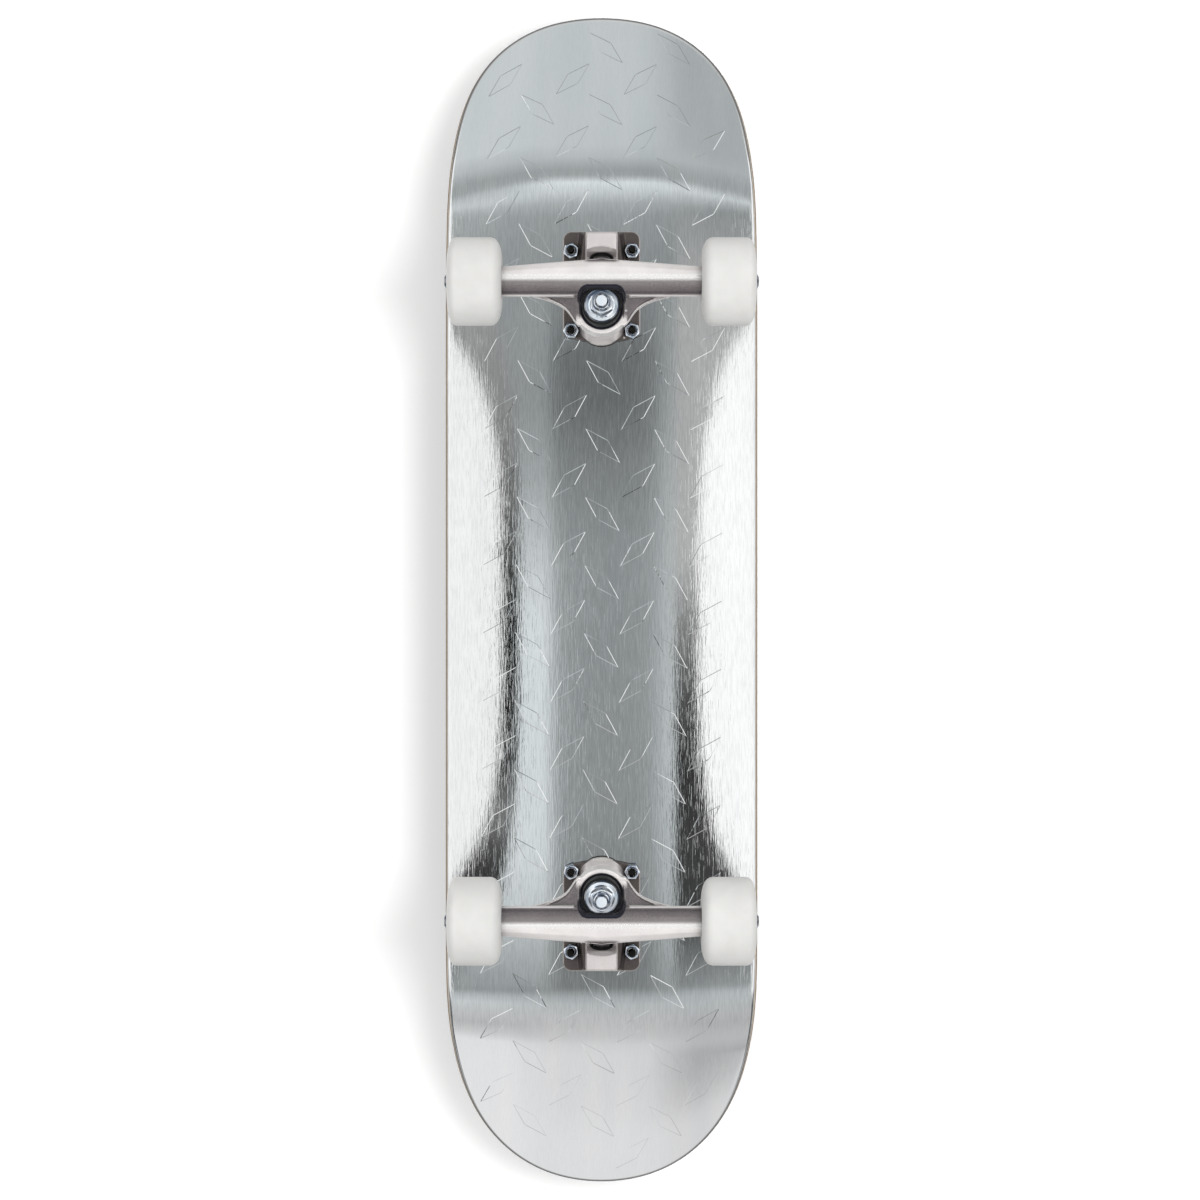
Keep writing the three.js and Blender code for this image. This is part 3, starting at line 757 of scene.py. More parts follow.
def make_diamonds():
    """Raised diamonds in two crossing families, each a low plateau with four sloping sides."""
    rng = np.random.default_rng(7)
    long_half, short_half, pitch_y, pitch_x = 17.3, 5.2, 46.6, 46.3
    turn = math.radians(0.45)
    shapes = []
    for family, (x0, y0) in (("down", (151.9, 0.0)), ("up", (128.3, -22.6))):
        lean = -1 if family == "down" else 1
        for i in range(-12, 8):
            for j in range(-3, 4):
                x, y = x0 + i * pitch_x, y0 + j * pitch_y
                centre = np.array([x * math.cos(turn) - y * math.sin(turn),
                                   x * math.sin(turn) + y * math.cos(turn)])
                shapes.append(diamond(centre, lean, long_half, short_half, rng))
    build("foil_diamonds", joined(*[s for s in shapes if s]), "foil", "board", sharp=7)


def inside_board(x, y, margin):
    end = np.where(x > 0, 1, 0)
    half = np.zeros_like(x, float)
    for flag, e in ((1, NOSE), (0, TAIL)):
        t = ((np.abs(x) - e["start"]) / (e["tip"] - margin - e["start"])).clip(0, 1)
        half = np.where(end == flag, HALF_WIDTH * (1 - t ** e["fullness"]) ** (1 / e["roundness"]), half)
    return np.abs(y) < half - margin


def diamond(centre, lean, long_half, short_half, rng, across=6, step=0.55):
    """One plateau: a grid over the rhombus, whose border rows drop to just inside the foil."""
    long_axis = np.array([1, lean]) / math.sqrt(2)
    short_axis = np.array([-lean, 1]) / math.sqrt(2)
    worn = 0.62 if centre[0] < 0 else 0.30
    rise = rng.uniform(0.11, 0.19, 4) * (1 - worn * np.clip((abs(centre[0]) - 285) / 40, 0, 1))
    inset = 1 - step / (short_half * math.cos(math.atan(short_half / long_half)))
    shares = np.concatenate([[-1], np.linspace(-inset, inset, across), [1]])
    p, q = np.meshgrid(shares, shares, indexing="ij")
    along, off = (p + q) / 2 * long_half, (p - q) / 2 * short_half
    flat = centre + along[..., None] * long_axis + off[..., None] * short_axis
    if not inside_board(flat[..., 0], flat[..., 1], 4.0).all():
        return None
    a, b = (p + 1) / 2, (q + 1) / 2
    lift = (rise[0] * (1 - a) + rise[1] * a) * (1 - b) + (rise[2] * (1 - a) + rise[3] * a) * b
    border = (np.abs(p) > inset + 1e-6) | (np.abs(q) > inset + 1e-6)
    height = FOIL_LOW - np.where(border, -0.03, lift)
    face = on_board(flat[..., 0], flat[..., 1], height).reshape(-1, 3)
    back = on_board(flat[..., 0], flat[..., 1], FOIL_LOW + 0.15).reshape(-1, 3)
    size = len(shares)
    faces = []
    for i in range(size - 1):
        for j in range(size - 1):
            quad = (i * size + j, i * size + j + 1, (i + 1) * size + j + 1, (i + 1) * size + j)
            faces += [quad, tuple(n + size * size for n in quad[::-1])]
    loop = list(range(size)) + [(i + 1) * size - 1 for i in range(1, size)]
    loop += [(size - 1) * size + j for j in range(size - 2, -1, -1)]
    loop += [i * size for i in range(size - 2, 0, -1)]
    for i, n in enumerate(loop):
        m = loop[(i + 1) % len(loop)]
        faces.append((n, m, m + size * size, n + size * size))
    return np.vstack([face, back]), faces, None


def bolt_places():
    """The name and the middle of each mounting screw."""
    for end in ("front", "rear"):
        for row in ("outer", "inner"):
            for side in ("left", "right"):
                name = f"{end}_{row}_{side}"
                yield name, middle(f"screw_{name}")


def make_grip():
    """Grip tape with a round hole at each screw."""
    lower = arc_rim(TOP_ROUND, 0, 25, offset=0.3, steps=2, from_top=True)
    upper = arc_rim(TOP_ROUND, 0, 25, offset=1.1, steps=3, from_top=True)
    sheet, _ = closed_layer(lower, upper)
    hole = drill(5.2, 80, 110, 32)
    holes = [moved(hole, Matrix.Translation((place[0], place[1], 0))) for _, place in bolt_places()]
    build("grip_sheet", cut_away(sheet, [joined(*holes)]), "grip", "board", ["grip_tape"], sharp=50)


def make_hardware():
    """Eight countersunk screws with crossed recesses, and their locking nuts."""
    low, high = node_box("screw_front_outer_left")
    top, tip = high[2], low[2]
    head = [(0, top), (3.9, top), (4.55, top - 0.25), (4.6, top - 0.5), (2.4, top - 2.7), (2.35, tip + 16)]
    shank = threaded(2.4, tip + 1.2, tip + 15.8, pitch=0.8)[::-1]
    end = [(1.9, tip + 0.3), (1.6, tip), (0, tip)]
    wing = extruded([(-2.6, -0.55), (2.6, -0.55), (2.6, 0.55), (-2.6, 0.55)], top - 1.7, top + 1)
    recess = [moved(wing, Matrix.Rotation(angle, 4, "Z")) for angle in (0, math.pi / 2)]
    screw = cut_away(turned(head + shank + end, 40), recess)
    nut_low, nut_high = node_box("nut_front_outer_left")
    nut = moved(nut_shape(9.2, 2.42, nut_high[2] - nut_low[2]), Matrix.Rotation(math.pi, 4, "X"))
    for index, (name, place) in enumerate(bolt_places()):
        turn = Matrix.Rotation(0.7 * index, 4, "Z")
        at = Matrix.Translation((place[0], place[1], 0)) @ turn
        nut_at = Matrix.Translation((place[0], place[1], nut_high[2])) @ turn
        build(f"bolt_{name}", moved(screw, at), "steel", "board", [f"screw_{name}"], ["black_steel"],
              sharp=40)
        build(f"locknut_{name}", moved(nut, nut_at), "zinc", "board", [f"nut_{name}"], ["zinc", "nylon"])


# ---- Trucks ---------------------------------------------------------------------------------

def slab(outline, half, edge):
    """An outline of (u, w) made into an upright slab, thick along Y, with rounded rims."""
    return moved(extruded(outline, -half, half, edge), UPRIGHT_SLAB)


def ring_arc(centre, radius, start, end, steps=8):
    """Points of an arc between two angles in degrees."""
    angles = np.radians(np.linspace(start, end, steps))
    return [(centre[0] + radius * math.cos(a), centre[1] + radius * math.sin(a)) for a in angles]


def mirrored(half_wall):
    """A section from its left half to its right half, both the same."""
    return [(u, -y, w) for u, y, w in half_wall] + half_wall[::-1]


def baseplate_shape():
    """A flange with four holes, the pivot's housing on fillet steps, and the kingpin's boss."""
    u_in, u_out, half, corner = -36.2, 39.6, 26.2, 6.0
    arch = [(-35.2 + 3.0 * (t * t), t * (half - 5.5)) for t in np.linspace(1, -1, 15)]
    outline = ring_arc((u_out - corner, -half + corner), corner, -90, 0)
    outline += ring_arc((u_out - corner, half - corner), corner, 0, 90)
    outline += ring_arc((u_in + 9, half - 5), 5, 90, 165) + arch
    outline += ring_arc((u_in + 9, -half + 5), 5, 195, 270)
    plate = extruded(outline, FLANGE_LOW, FLANGE_TOP - 0.2, 1.0)

    base_w = FLANGE_LOW + 2
    across = np.array([PIVOT_WAY[1], -PIVOT_WAY[0]]) / math.hypot(*PIVOT_WAY)
    foot = (PIVOT[0] + (PIVOT[1] - base_w) * across[0] / -across[1], base_w)
    mouth = (PIVOT[0] + 8.6 * across[0], PIVOT[1] + 8.6 * across[1])
    sections = []
    for y in (-10.1, -9.4, -7.6, -4.8, 0, 4.8, 7.6, 9.4, 10.1):
        crease = 27.0 - 2.4 * (y / 10) ** 2
        shrink = 0.8 if abs(y) > 9.8 else 0
        sections.append([(foot[0], y, foot[1]), (mouth[0], y, mouth[1]), (crease, y, 25.7 + shrink),
                         (35.4 - shrink, y, 26.5 + shrink), (36.6 - shrink, y, 28.2), (38.8, y, base_w)])

    def skirt(u_near, near, u_far, far, low):
        """A fillet step beside the housing, wider towards the axle."""
        walls = []
        for u, reach, lift in ((u_near - 2.5, near - 1, 3.5), (u_near, near, 0),
                               (u_far - 1, far, 0), (u_far, far - 1, 1.5)):
            half_wall = [(u, reach + 1.6, base_w), (u, reach, low + lift + 1.0), (u, reach - 1.0, low + lift)]
            walls.append(mirrored(half_wall))
        return loft(walls)

    boss = turned([(0, -19), (13.3, -19), (14.4, -20), (16.3, -31), (16.3, -34), (0, -34)], 64)
    saddle = slab([(-20, 49), (-12, 41), (12, 41), (16, 49)], 9, 1.5)
    cuts = [
        moved(drill(7.75, -6, 10.6, 48), ON_PIVOT),
        moved(drill(5.1, -40, 0, 32), ON_KINGPIN),
        moved(drill(9, -60, -27.2, 32), ON_KINGPIN),
        extruded([(-60, -40), (60, -40), (60, 40), (-60, 40)], FLANGE_TOP - 0.1, FLANGE_TOP + 30),
    ]
    for u in BOLT_U:
        for y in (-BOLT_Y, BOLT_Y):
            cuts.append(moved(drill(2.8, 30, 70, 24), Matrix.Translation((u, y, 0))))
    skirts = [skirt(19, 14.4, 38.3, 12.4, 39.5), skirt(16, 17.6, 38.9, 14.2, 44.4)]
    solids = [plate, loft(sections), *skirts, moved(boss, ON_KINGPIN), saddle]
    return cast(solids, cuts, 0.5, 3)


def beam_sections():
    """The beam's section along Y: a crease underneath, a flat outer flank and a lip on the inner side."""
    end_reach, mid_reach, half = 9.6, 15.2, 70.6
    sections = []
    for y in np.concatenate([[-half, -half + 0.8], np.linspace(-half + 2, half - 2, 45), [half - 0.8, half]]):
        share = abs(y) / half
        reach = mid_reach - (mid_reach - end_reach) * min(1.0, share * 1.02)
        inward = 0.8 if half - abs(y) < 0.4 else 0.0
        line = [(-10.0, 1.0), (-10.0, -3.4), (-9.4, -4.3), (-8.2, -4.7), (-7.3, -6.0), (-4, -8.2),
                (0.4, -9.5), (2.0, -9.9), (3.6, -9.7), (reach * 0.62, -8.2), (reach * 0.93, -5.2),
                (reach, -1.0), (reach * 0.95, 4.5), (reach * 0.7, 8.4), (3, 9.8), (-3, 9.6), (-7.4, 7.0),
                (-9.6, 4.0)]
        scale = (10 - inward) / 10
        sections.append([(u * scale, y, w * scale) for u, w in line])
    return sections


# The free edge of the web from the beam to the ring: reach across, and how far inward it is there.
WING_EDGE = [(45, -9.8), (40, -10.7), (34, -12.4), (28, -14.8), (23.5, -17.6), (20.5, -21.0), (18.2, -24.6),
             (15.5, -27.5)]


def wing_u(y):
    return np.interp(np.abs(y), [row[0] for row in WING_EDGE[::-1]], [row[1] for row in WING_EDGE[::-1]])


def wing_shapes():
    """A web from the beam to the ring on each side, with a raised rim along its free edge."""
    shapes = []
    for side in (-1, 1):
        sections, rim = [], []
        for y in np.linspace(45, 12, 30):
            u = wing_u(y)
            lift = np.clip((-u - 9.8) / 17, 0, 1)
            low, high = -1.5 + 10.5 * lift, 5.5 + 14.5 * lift
            web = ((u, low + 1.2), (-2, -0.5), (-2, 9), (u, high))
            edge = ((u - 0.4, low - 0.6), (u + 1.0, low - 0.6), (u + 1.4, high), (u - 0.4, high))
            sections.append([(at, side * y, w) for at, w in web])
            rim.append([(at, side * y, w) for at, w in edge])
        shapes += [loft(sections), loft(rim)]
    return shapes


# The nut's room: height, how far it reaches under the beam, half width there.
NUT_ROOM = [(-16, -2.6, 15.5), (-10, -3.2, 15.5), (-8, -3.6, 15.4), (-6, -4.3, 15.4), (-3.4, -4.9, 15.4),
            (0, -5.2, 15.4), (3.2, -5.2, 15.3), (5, -5.0, 15.1), (7, -4.6, 14.9), (9.2, -4.6, 14.6)]
ROOM_CORNER = 6.4


def inside_room(u, y, w):
    """How far a point lies inside the outline of the nut's room at its height, in mm."""
    heights = [row[0] for row in NUT_ROOM]
    over_u = u + ROOM_CORNER - np.interp(w, heights, [row[1] for row in NUT_ROOM])
    over_y = np.abs(y) + ROOM_CORNER - np.interp(w, heights, [row[2] for row in NUT_ROOM])
    outside = np.hypot(np.maximum(over_u, 0), np.maximum(over_y, 0))
    return ROOM_CORNER - outside - np.minimum(np.maximum(over_u, over_y), 0)


def hanger_shape():
    """The beam, the ring round the kingpin, the webs between them, and the arm that ends in the pivot."""
    ring = moved(turned([(0, -7), (16.6, -7), (17.3, -6), (17.3, 8.2), (16.5, 9), (0, 9)], 72), ON_KINGPIN)
    neck_web = slab([(-1.5, 3), (-1.5, 24), (2, 31), (11, 35.5), (16.8, 28), (15.2, 8), (12, 3)], 7.5, 1.5)
    flare = [[(u * s, side, w) for u, w in ((2, 0), (14.5, -3), (15.2, 6), (13, 18), (2, 20))]
             for side, s in ((-19, 0.55), (-11, 0.9), (0, 1.05), (11, 0.9), (19, 0.55))]
    pivot = turned([(0, -24), (8.4, -24), (7.3, -2.8), (5.5, -0.9), (4.7, 6.0), (3.4, 8.0), (0, 8.5)], 48)
    room = []
    for w, reach, half in NUT_ROOM:
        plan = [(-40, -half)] + ring_arc((reach - ROOM_CORNER, -half + ROOM_CORNER), ROOM_CORNER, -90, 0)
        plan += ring_arc((reach - ROOM_CORNER, half - ROOM_CORNER), ROOM_CORNER, 0, 90) + [(-40, half)]
        room.append([(u, y, w) for u, y in plan])
    cuts = [
        loft(room),
        moved(drill(14.2, 3.5, 16.0, 64), ON_KINGPIN),
        moved(drill(15.2, -30, -3.5, 64), ON_KINGPIN),
        moved(drill(7.5, -10, 10, 48), ON_KINGPIN),
        moved(drill(4.1, -90, 90, 48), ALONG_Y),
    ]
    solids = [loft(beam_sections()), ring, neck_web, loft(flare), moved(pivot, ON_PIVOT), *wing_shapes()]
    return cast(solids, cuts, 0.55, 5)


def ease(value, low, high):
    """Rises smoothly from 0 at low to 1 at high."""
    t = np.clip((value - low) / (high - low), 0, 1)
    return t * t * (3 - 2 * t)


def tone_hanger(shape):
    """0 tumbled bright; 1 as cast, with painted shade that darkens it past 1 on the inner flank, the webs,
    the ring and the neck; 2 flat painted shade in the nut's room and the bore. A painted highlight runs along
    the beam's crease.
    """
    (u, y, w), normals = shape[0].T, point_normals(shape)
    # Painted shade on faces that look down: the inner flank darkens towards its lip, and the webs away from
    # their rim.
    facing_down = ease(-normals[:, 2], 0.15, 0.35)
    flank = (0.9 + 0.5 * ease(-u, 2.0, 8.5)) * ease(-u, -2.2, 1.6) * ease(u, -9.6, -8.6)
    flank *= ease(-w, 1.0, 2.5) * facing_down
    web = ease(-u, 9.8, 10.6) * ease(np.abs(y), 16.2, 17.4) * facing_down
    web *= 0.55 + 0.45 * ease(u - wing_u(y), 0.8, 1.8)
    # Painted shade: the nut's room takes the flat dark of tone 2.
    room = ease(inside_room(u, y, w), -1.1, -0.5) * ease(u, -17, -12) * ease(w, -9.6, -9.0)
    floor = ease(w, -1, 4) * ease(u, -18, -12)
    walls = np.maximum(ease(-normals[:, 0], 0.1, 0.4), ease(np.abs(normals[:, 1]), 0.5, 0.8))
    room *= np.maximum(floor, walls)
    # Painted shade: the bore takes the flat dark of tone 2.
    bore = ease(15.0 - np.hypot(u - RING[0] - 1, y), 0, 0.6) * ease(w, 5, 8) * ease(15.5 - w, 0, 1)
    # Painted shade on the down-facing neck beside the pivot.
    neck = 1.5 * ease(u, 11.0, 14.2) * ease(13.5 - np.abs(y), 0, 6) * ease(-normals[:, 2], 0.2, 0.45)
    # Painted highlight along the beam's crease.
    ridge = np.exp(-((u - 1.9) / 1.5) ** 2) * ease(-w, 8.6, 9.2)
    # The ring gets a darker tone past 1: painted shade.
    ring = ease(u, -25, -19) * ease(-u, 8.5, 9.5) * ease(19 - np.abs(y), 0, 1.5)
    tones = np.stack([flank, 1.25 * web, 1.15 * ring, 2 * room, 2 * bore, neck])
    return {"tone": tones.max(axis=0), "ridge": ridge}


def tone_baseplate(shape):
    """0 tumbled (the housing and the boss), 1 as cast with a dark colour that is partly painted shade. The
    housing's inward slope gets painted shade, and the flange's rim a painted highlight.
    """
    u, y, w = shape[0].T
    housing = ease(11.0 - np.abs(y), 0, 0.6) * ease(u, 12, 14) * ease(45.5 - w, 0, 1)
    boss = ease(18.5 - np.hypot(u - RING[0] + 2.5, y), 0, 0.8) * ease(46.8 - w, 0, 0.6) * ease(-u, 0, 2)
    # Painted shade on the housing's slope that faces inward.
    slope = 0.45 * housing * ease(-point_normals(shape)[:, 0], 0.15, 0.45) * ease(34 - w, 0, 1)
    # Painted highlight along the flange's rim.
    corner = np.hypot(np.maximum(np.abs(y) - 20.2, 0), np.maximum(np.abs(u - 1.7) - 31.9, 0))
    rim = 0.8 * ease(corner, 5.1, 5.7) * ease(48.6 - w, 0, 0.6)
    return {"tone": np.maximum(1 - np.maximum(housing, boss), slope), "ridge": rim}


def wheel_shape():
    """Half of the profile is worked out and mirrored: bearing seat, side recess, shoulder and tread."""
    shoulder_r, squareness = 12.0, 0.80

    def shoulder(tread):
        """A squared quarter ellipse from the side of the wheel to the edge of its tread."""
        places = []
        for degrees in np.linspace(6, 90, 18):
            across, up = math.cos(math.radians(degrees)), math.sin(math.radians(degrees))
            places.append((shoulder_r + (WHEEL_R - shoulder_r) * up ** squareness,
                           tread + (WHEEL_HALF - tread) * max(across, 0) ** squareness))
        return places

    corners = [(8, 4.7), (11.05, 4.7), (11.05, 12.6), (12.2, 13.4), (12.9, 17.2), (13.8, 17.95)]
    recess = rounded(corners, 0.5, 3)
    outer, inner = recess + shoulder(11.0), recess + shoulder(9.5)
    return turned(outer + [(r, -z) for r, z in inner][::-1], 128)


def bearing_shape():
    """Races, a dished shield and its two snap grooves, on both faces."""
    face = [(4.05, 3.2), (4.35, 3.5), (5.9, 3.5), (6.15, 3.2), (6.3, 2.9), (6.9, 2.95), (8.9, 3.05),
            (9.2, 2.9), (9.45, 3.15), (9.6, 3.5), (10.7, 3.5), (11.0, 3.2)]
    shield = (4, 5, 6, 16, 17, 18)
    other_face = [(r, -z) for r, z in face][::-1]
    return turned(face + other_face, 72, materials_at=lambda k: int(k in shield))


def bushing_shape(seat, far, r_seat, r_far):
    """A barrel from its seat in the hanger's ring to its washer, with a wider bore at the end that swings."""
    bulge = max(r_seat, r_far) - 0.3
    corners = [(6.2, seat), (r_seat, seat), (bulge, (seat + far) / 2), (r_far, far), (5, far)]
    return turned(rounded(corners, [0, 0.9, 4, 0.9, 0]), 64)


def cup_washer(low, high, radius, thick=1.2):
    """A pressed cup washer: a flat middle, a step, and a sloping rim turned over."""
    line = rounded([(5, high), (radius * 0.66, high), (radius * 0.74, high - 0.5), (radius * 0.9, high - 0.8),
                    (radius, low + 0.6), (radius - 0.5, low), (radius * 0.88, high - 0.8 - thick),
                    (radius * 0.62, high - thick), (5, high - thick)], 0.5, 3)
    return turned(line, 72)


PIVOT_CUP = [(0, 9.2), (4.9, 9.0), (5.6, 7), (5.8, 0.6), (6.1, 0.2), (7.0, 0.2), (7.3, 0.6), (7.3, 10.1),
             (0, 10.1)]
KINGPIN_HEAD = [(0, -33.2), (6.9, -33.2), (7.15, -33.18), (7.15, -27.62), (6.9, -27.6), (0, -27.6)]
KINGPIN_NUT_LOW = 15.35            # heights along the kingpin from the ring's middle, towards the road
AXLE_TIP = 103.3                   # distances along the axle from its middle
AXLE_NUT, SPEED_RING, INNER_RING = 97, 95.8, 70.55
BEARING_OFFSET = 8.5
UPSIDE_DOWN = Matrix.Rotation(math.pi, 4, "X")


def kingpin_shape():
    shaft = [(0, -27.5), (4.7, -27.5), (4.7, 13), *threaded(4.7, 13.2, 25.6, 1.25, 0.35),
             (4.1, 25.9), (3.6, 26.4), (0, 26.4)]
    return joined(turned(shaft, 56), turned(KINGPIN_HEAD, 72, hex_radius(14.3, -30)))


def axle_shape():
    thread = threaded(3.95, AXLE_TIP - 11, AXLE_TIP - 1, 1.0, 0.3)
    end = [(3.2, AXLE_TIP), (3.9, AXLE_TIP - 0.7), *thread[::-1], (4.0, AXLE_TIP - 11.4)]
    return turned([(0, AXLE_TIP), *end, *[(r, -z) for r, z in end[::-1]], (0, -AXLE_TIP)], 48)


def make_truck(end, sign):
    """One truck with its two wheels. Each of its pieces stands for the CAD node of the same name."""
    truck = f"{end}_truck"
    turn = Matrix.Rotation(0 if sign == 1 else math.pi, 4, "Z")
    frame_at = Matrix.Translation(middle(f"{end}_axle")) @ turn

    def put(name, shape, slot_name, body, at=Matrix.Identity(4), materials=None, **more):
        placed = moved(shape, frame_at @ at)
        build(f"{end}_{name}_fine", placed, slot_name, body, [f"{end}_{name}"], materials, **more)

    for name, slot_name, body, finish in (("baseplate", "cast_dark", "board", "plate_cast"),
                                          ("hanger", "cast", truck, "hanger_cast")):
        casting, tone = CASTINGS[name]
        put(name, casting, slot_name, body, materials=[finish], sharp=80, attributes=tone)

    put("pivot_cup", turned(PIVOT_CUP, 48), "bushing", "board", ON_PIVOT)
    put("kingpin", kingpin_shape(), "zinc", "board", ON_KINGPIN)
    nut_at = ON_KINGPIN @ Matrix.Translation((0, 0, KINGPIN_NUT_LOW)) @ Matrix.Rotation(math.pi / 6, 4, "Z")
    put("kingpin_nut", nut_shape(14.3, 4.72, 9.1), "zinc", "board", nut_at, ["zinc", "zinc"])
    put("road_washer", cup_washer(12.0, 15.2, 11.8), "zinc", "board", ON_KINGPIN)
    put("board_washer", cup_washer(16.0, 18.8, 13.4), "zinc", "board", ON_KINGPIN @ UPSIDE_DOWN)
    for name, seat, far, r_seat, r_far in (("road_bushing", 3.6, 13.2, 12.6, 12.9),
                                           ("board_bushing", -3.6, -17.1, 13.8, 11.6)):
        far_end, seat_end = (frame_at @ ON_KINGPIN @ Vector((0, 0, height)) for height in (far, seat))
        put(name, bushing_shape(seat, far, r_seat, r_far), "bushing", "board", ON_KINGPIN,
            bend=(truck, far_end, seat_end))

    put("axle", axle_shape(), "steel", truck, ALONG_Y)
    for side, y_sign in (("left", 1), ("right", -1)):
        outward = ALONG_Y if y_sign * sign == 1 else UPSIDE_DOWN @ ALONG_Y
        wheel = f"{end}_{side}_wheel"

        def out(distance):
            return outward @ Matrix.Translation((0, 0, distance))

        put(f"{side}_wheel", CASTINGS["wheel"], "urethane", wheel, out(WHEEL_MID))
        for which, offset in (("inner", -BEARING_OFFSET), ("outer", BEARING_OFFSET)):
            put(f"{side}_{which}_bearing", bearing_shape(), "steel", wheel, out(WHEEL_MID + offset),
                ["steel", "dark_steel"])
        ring = turned(rounded([(4.1, 0), (6.1, 0), (6.1, 0.9), (4.1, 0.9)], 0.25, 2), 40)
        put(f"{side}_speed_ring", ring, "zinc", truck, out(SPEED_RING))
        build(f"{end}_{side}_inner_ring", moved(ring, frame_at @ out(INNER_RING)), "zinc", truck)
        put(f"{side}_axle_nut", nut_shape(12.7, 3.97, 5.7), "zinc", truck, out(AXLE_NUT), ["zinc", "nylon"])


# ---- Stage, in metres -----------------------------------------------------------------------

CAMERA_DISTANCE = 1.8              # from the underside of the deck
BACKDROP_HEIGHT = 0.177            # a plane over the board, seen from below as the photograph's ground


def hidden_from(thing, *kinds):
    """Keeps a thing out of the given kinds of rays."""
    for kind in kinds:
        setattr(thing, f"visible_{kind}", False)


def stage_thing(shader, points, faces):
    """A piece of the studio, in metres, with the shader's name and material."""
    name = shader.material.name
    mesh = mesh_of(name, points, faces)
    mesh.materials.append(shader.material)
    thing = added(name, mesh)
    return thing


def show(shader, node):
    """Lets a material show a node in place of its principled surface."""
    shader.tree.nodes.remove(shader.surface)
    shader.feed(shader.tree.nodes["Material Output"].inputs["Surface"], node.outputs[0])


def stage_plane(name, height, facing_up, grey, glow):
    """A pale plane that shows on one side only, and only straight to the camera."""
    s = Shader(name)
    lit = s.node("AddShader")
    s.feed(lit.inputs[0], s.node("BsdfDiffuse", Color=(grey, grey, grey)).outputs[0])
    s.feed(lit.inputs[1], s.node("Emission", Strength=glow).outputs[0])
    sided = s.node("MixShader")
    s.feed(sided.inputs[0], s.node("NewGeometry").outputs["Backfacing"])
    s.feed(sided.inputs[1], lit.outputs[0])
    s.feed(sided.inputs[2], s.node("BsdfTransparent").outputs[0])
    show(s, sided)
    corners = [(-4, -4, 0), (4, -4, 0), (4, 4, 0), (-4, 4, 0)]
    plane = stage_thing(s, corners, [(0, 1, 2, 3) if facing_up else (3, 2, 1, 0)])
    plane.location = (0, 0, height)
    hidden_from(plane, "diffuse", "glossy", "transmission", "shadow", "volume_scatter")


def reflected(shader, points, faces, colour):
    """A glowing part of the studio that only shows in reflections."""
    show(shader, shader.node("Emission", Color=colour, Strength=1.0))
    hidden_from(stage_thing(shader, points, faces), "camera", "diffuse", "shadow", "transmission")


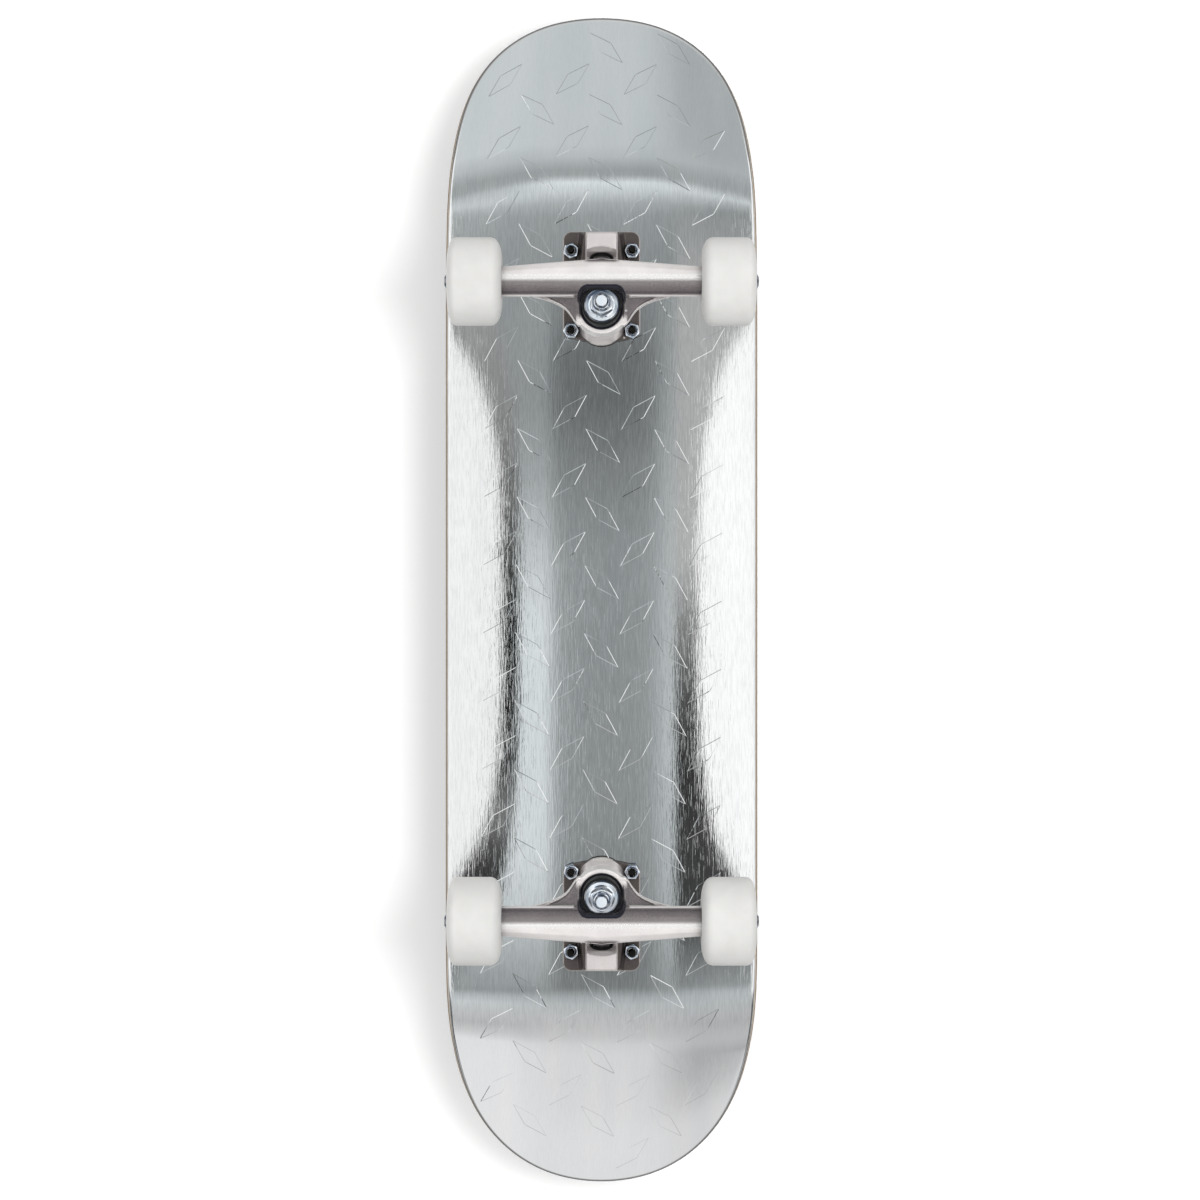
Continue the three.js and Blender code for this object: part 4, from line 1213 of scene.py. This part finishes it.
def reflected_wall():
    """A wall of soft boxes and flags behind the camera. It shows in reflections only; lengths are mm."""
    x_low, x_high, y_high, z = -1.6, 1.7, 1.6, -0.697
    corners = [(x_low, -y_high, z), (x_high, -y_high, z), (x_high, y_high, z), (x_low, y_high, z)]
    s = Shader("studio_wall")
    place = s.node("SeparateXYZ", Vector=s.place())
    along, across = place.outputs["X"], place.outputs["Y"]

    towards_nose = s.range(along, 300, 600)
    bow = s.math("MULTIPLY", s.math("POWER", s.math("DIVIDE", across, 350.0), 2.0), 80.0)
    bowed = s.math("ADD", along, s.math("MULTIPLY", bow, towards_nose))

    def by_length(stops):
        """A brightness that changes along the wall: (place, brightness) from tail to nose."""
        low, high = x_low / MM, x_high / MM
        share = s.range(bowed, low, high, smooth=False)
        return s.ramp(share, [((at - low) / (high - low), value) for at, value in stops])

    kick_left = [(-1350, 0.86), (-1020, 0.84), (-895, 0.66), (-760, 0.53), (-610, 0.62), (-530, 0.67),
                 (-468, 0.55), (-415, 0.35), (-380, 0.27), (-345, 0.26)]
    kick_middle = [(-1350, 0.82), (-1290, 0.77), (-1020, 0.71), (-895, 0.62), (-760, 0.58), (-610, 0.57),
                   (-530, 0.55), (-468, 0.47), (-415, 0.34), (-380, 0.23), (-345, 0.20)]
    kick_right = [(-1350, 0.74), (-1310, 0.58), (-1250, 0.46), (-1020, 0.54), (-895, 0.53), (-760, 0.49),
                  (-610, 0.54), (-530, 0.56), (-468, 0.56), (-415, 0.50), (-345, 0.40)]
    flat = [(-210, 0.31), (40, 0.33), (120, 0.26), (190, 0.17), (240, 0.17)]
    nose_left = [(376, 0.42), (486, 0.54), (560, 0.66), (620, 0.66), (700, 0.58), (770, 0.42), (880, 0.40),
                 (1108, 0.56), (1450, 0.68)]
    nose_middle = [(376, 0.39), (486, 0.48), (600, 0.70), (665, 0.78), (715, 0.85), (755, 0.62), (805, 0.41),
                   (880, 0.39), (1108, 0.56), (1450, 0.64)]
    nose_right = [(376, 0.30), (486, 0.36), (600, 0.52), (670, 0.72), (730, 0.56), (780, 0.42), (880, 0.42),
                  (1108, 0.50), (1300, 0.48), (1450, 0.47)]
    centre = by_length(kick_middle + flat + nose_middle)
    centre = s.mix(s.range(across, -20, -400, 0.0, 1.0), centre, by_length(kick_left + flat + nose_left))
    centre = s.mix(s.range(across, 0, 400), centre, by_length(kick_right + flat + nose_right))
    left = by_length([(-330, 0.60), (-250, 0.80), (-30, 0.84), (40, 0.67), (117, 0.44), (194, 0.33),
                      (330, 0.36)])
    right = by_length([(-330, 0.52), (-156, 0.64), (40, 0.54), (117, 0.48), (194, 0.40), (330, 0.34)])
    dark_left = by_length([(-300, 0.04), (-253, 0.05), (-214, 0.20), (-156, 0.03), (-30, 0.0), (39, 0.06),
                           (117, 0.18), (194, 0.28), (300, 0.36)])
    dark_right = by_length([(-300, 0.06), (-156, 0.035), (-97, 0.08), (-30, 0.22), (39, 0.48), (330, 0.46)])

    middle_part = s.math("ABSOLUTE", s.math("ADD", along, 10.0))
    bulge = s.math("POWER", s.math("DIVIDE", middle_part, 243.0), 4.0)
    left_way = s.math("MULTIPLY", across, -1.0)
    between_trucks = s.range(middle_part, 290, 420, 1.0, 0.0)

    def over(under, value, way, start, soft, bulge_reach, share=between_trucks):
        """Lays a brightness over the wall outward from a line that bows out towards the trucks."""
        edge = s.math("SUBTRACT", way, s.math("MULTIPLY", bulge, bulge_reach))
        cover = s.math("MULTIPLY", s.range(edge, start - soft, start + soft), share)
        return s.mix(cover, under, value)

    picture = over(centre, left, left_way, 78, 56, 0)
    picture = over(picture, right, across, 110, 90, 0)
    tint = s.mix(s.range(along, -750, -450), (1.0, 0.995, 1.005), (0.925, 0.985, 1.0))
    picture = s.mix(1.0, picture, tint, "MULTIPLY")
    picture = over(picture, dark_left, left_way, 228, 9, 45)
    picture = over(picture, (1.00, 1.00, 1.00), left_way, 292, 6, 110)
    picture = over(picture, dark_right, across, 192, 9, 0)
    picture = over(picture, (1.12, 1.12, 1.12), across, 284, 6, 90)
    edge_reach = s.range(middle_part, 400, 800, 515, 740)
    aside = s.range(s.math("SUBTRACT", s.math("ABSOLUTE", across), edge_reach), 0, 12)
    rim = s.mix(s.range(along, -700, -400), (0.10, 0.10, 0.10), (1.05, 1.05, 1.05))
    reflected(s, corners, [(0, 1, 2, 3)], s.mix(aside, picture, rim))


def reflected_room():
    """A round room that only shows in reflections: bright below, dark walls, and a grey ceiling."""
    radius = 4.0
    side = [(radius * math.sin(a), -radius * math.cos(a)) for a in np.radians(np.arange(10, 180, 10))]
    points, faces, _ = turned([(0, -radius), *side, (0, radius)], 36)
    s = Shader("studio_room")
    height = s.node("SeparateXYZ", Vector=s.place()).outputs["Z"]
    share = s.range(height, -radius / MM, radius / MM, smooth=False)
    tones = s.ramp(share, [(0.0, 1.0), (0.2, 0.9), (0.36, 0.38), (0.5, 0.12), (0.62, 0.28), (1.0, 0.7)])
    reflected(s, points, faces, tones)


def area_light(name, place, aim_at, size, watts):
    """A round lamp that lights the scene but does not show in reflections."""
    data = bpy.data.lights.new(name, "AREA")
    data.shape, data.size, data.energy = "DISK", size, watts
    light = added(name, data)
    light.location = place
    light.rotation_euler = (Vector(aim_at) - Vector(place)).to_track_quat("-Z", "Y").to_euler()
    hidden_from(light, "glossy")
    return light


def make_stage():
    scene = bpy.context.scene
    scene.view_settings.view_transform = "Standard"
    world = scene.world or bpy.data.worlds.new("World")
    scene.world = world
    world.use_nodes = True
    background = world.node_tree.nodes["Background"]
    background.inputs["Color"].default_value = (1, 1, 1, 1)
    background.inputs["Strength"].default_value = 0.85
    reflected_room()
    stage_plane("floor", 0, True, 0.86, 0.1)
    stage_plane("backdrop", BACKDROP_HEIGHT, False, 0.9, 0.17)
    area_light("key", (0.1, 0.56, -1.6), (0, 0, 0.1), 0.70, 14)
    fill = area_light("fill", (0.0, -2.2, -1.0), (0, 0, 0.1), 1.2, 7)
    fill.data.use_shadow = False
    area_light("top", (0.6, -1.2, 2.2), (0, 0, 0), 1.2, 30)
    reflected_wall()


def make_camera():
    """Looks straight up at the underside, with the nose at the top of the picture."""
    data = bpy.data.cameras.new("camera")
    data.sensor_width, data.lens = 36, 79.58
    data.clip_start, data.clip_end = 0.05, 50
    camera = added("camera", data)
    camera.matrix_world = Matrix((
        (0, 1, 0, 0.0009),
        (1, 0, 0, -0.00105),
        (0, 0, -1, DECK_BOTTOM * MM - CAMERA_DISTANCE),
        (0, 0, 0, 1)))
    bpy.context.scene.camera = camera


# ---- Making ---------------------------------------------------------------------------------

make_camera()
make_stage()
CASTINGS = {"wheel": wheel_shape()}
for key, maker, tone_of in (("hanger", hanger_shape, tone_hanger),
                            ("baseplate", baseplate_shape, tone_baseplate)):
    casting = maker()
    CASTINGS[key] = (casting, tone_of(casting))
make_deck()
make_foil()
make_diamonds()
make_grip()
make_hardware()
for truck_end, truck_sign in (("front", 1), ("rear", -1)):
    make_truck(truck_end, truck_sign)

# These pieces are left out of reflections, so the foil beside the trucks shows the studio.
UNREFLECTED = ("hanger_fine", "wheel_fine", "bearing_fine", "bushing", "washer", "kingpin", "ring", "axle")
for piece in bpy.data.objects:
    if any(word in piece.name for word in UNREFLECTED):
        hidden_from(piece, "glossy")
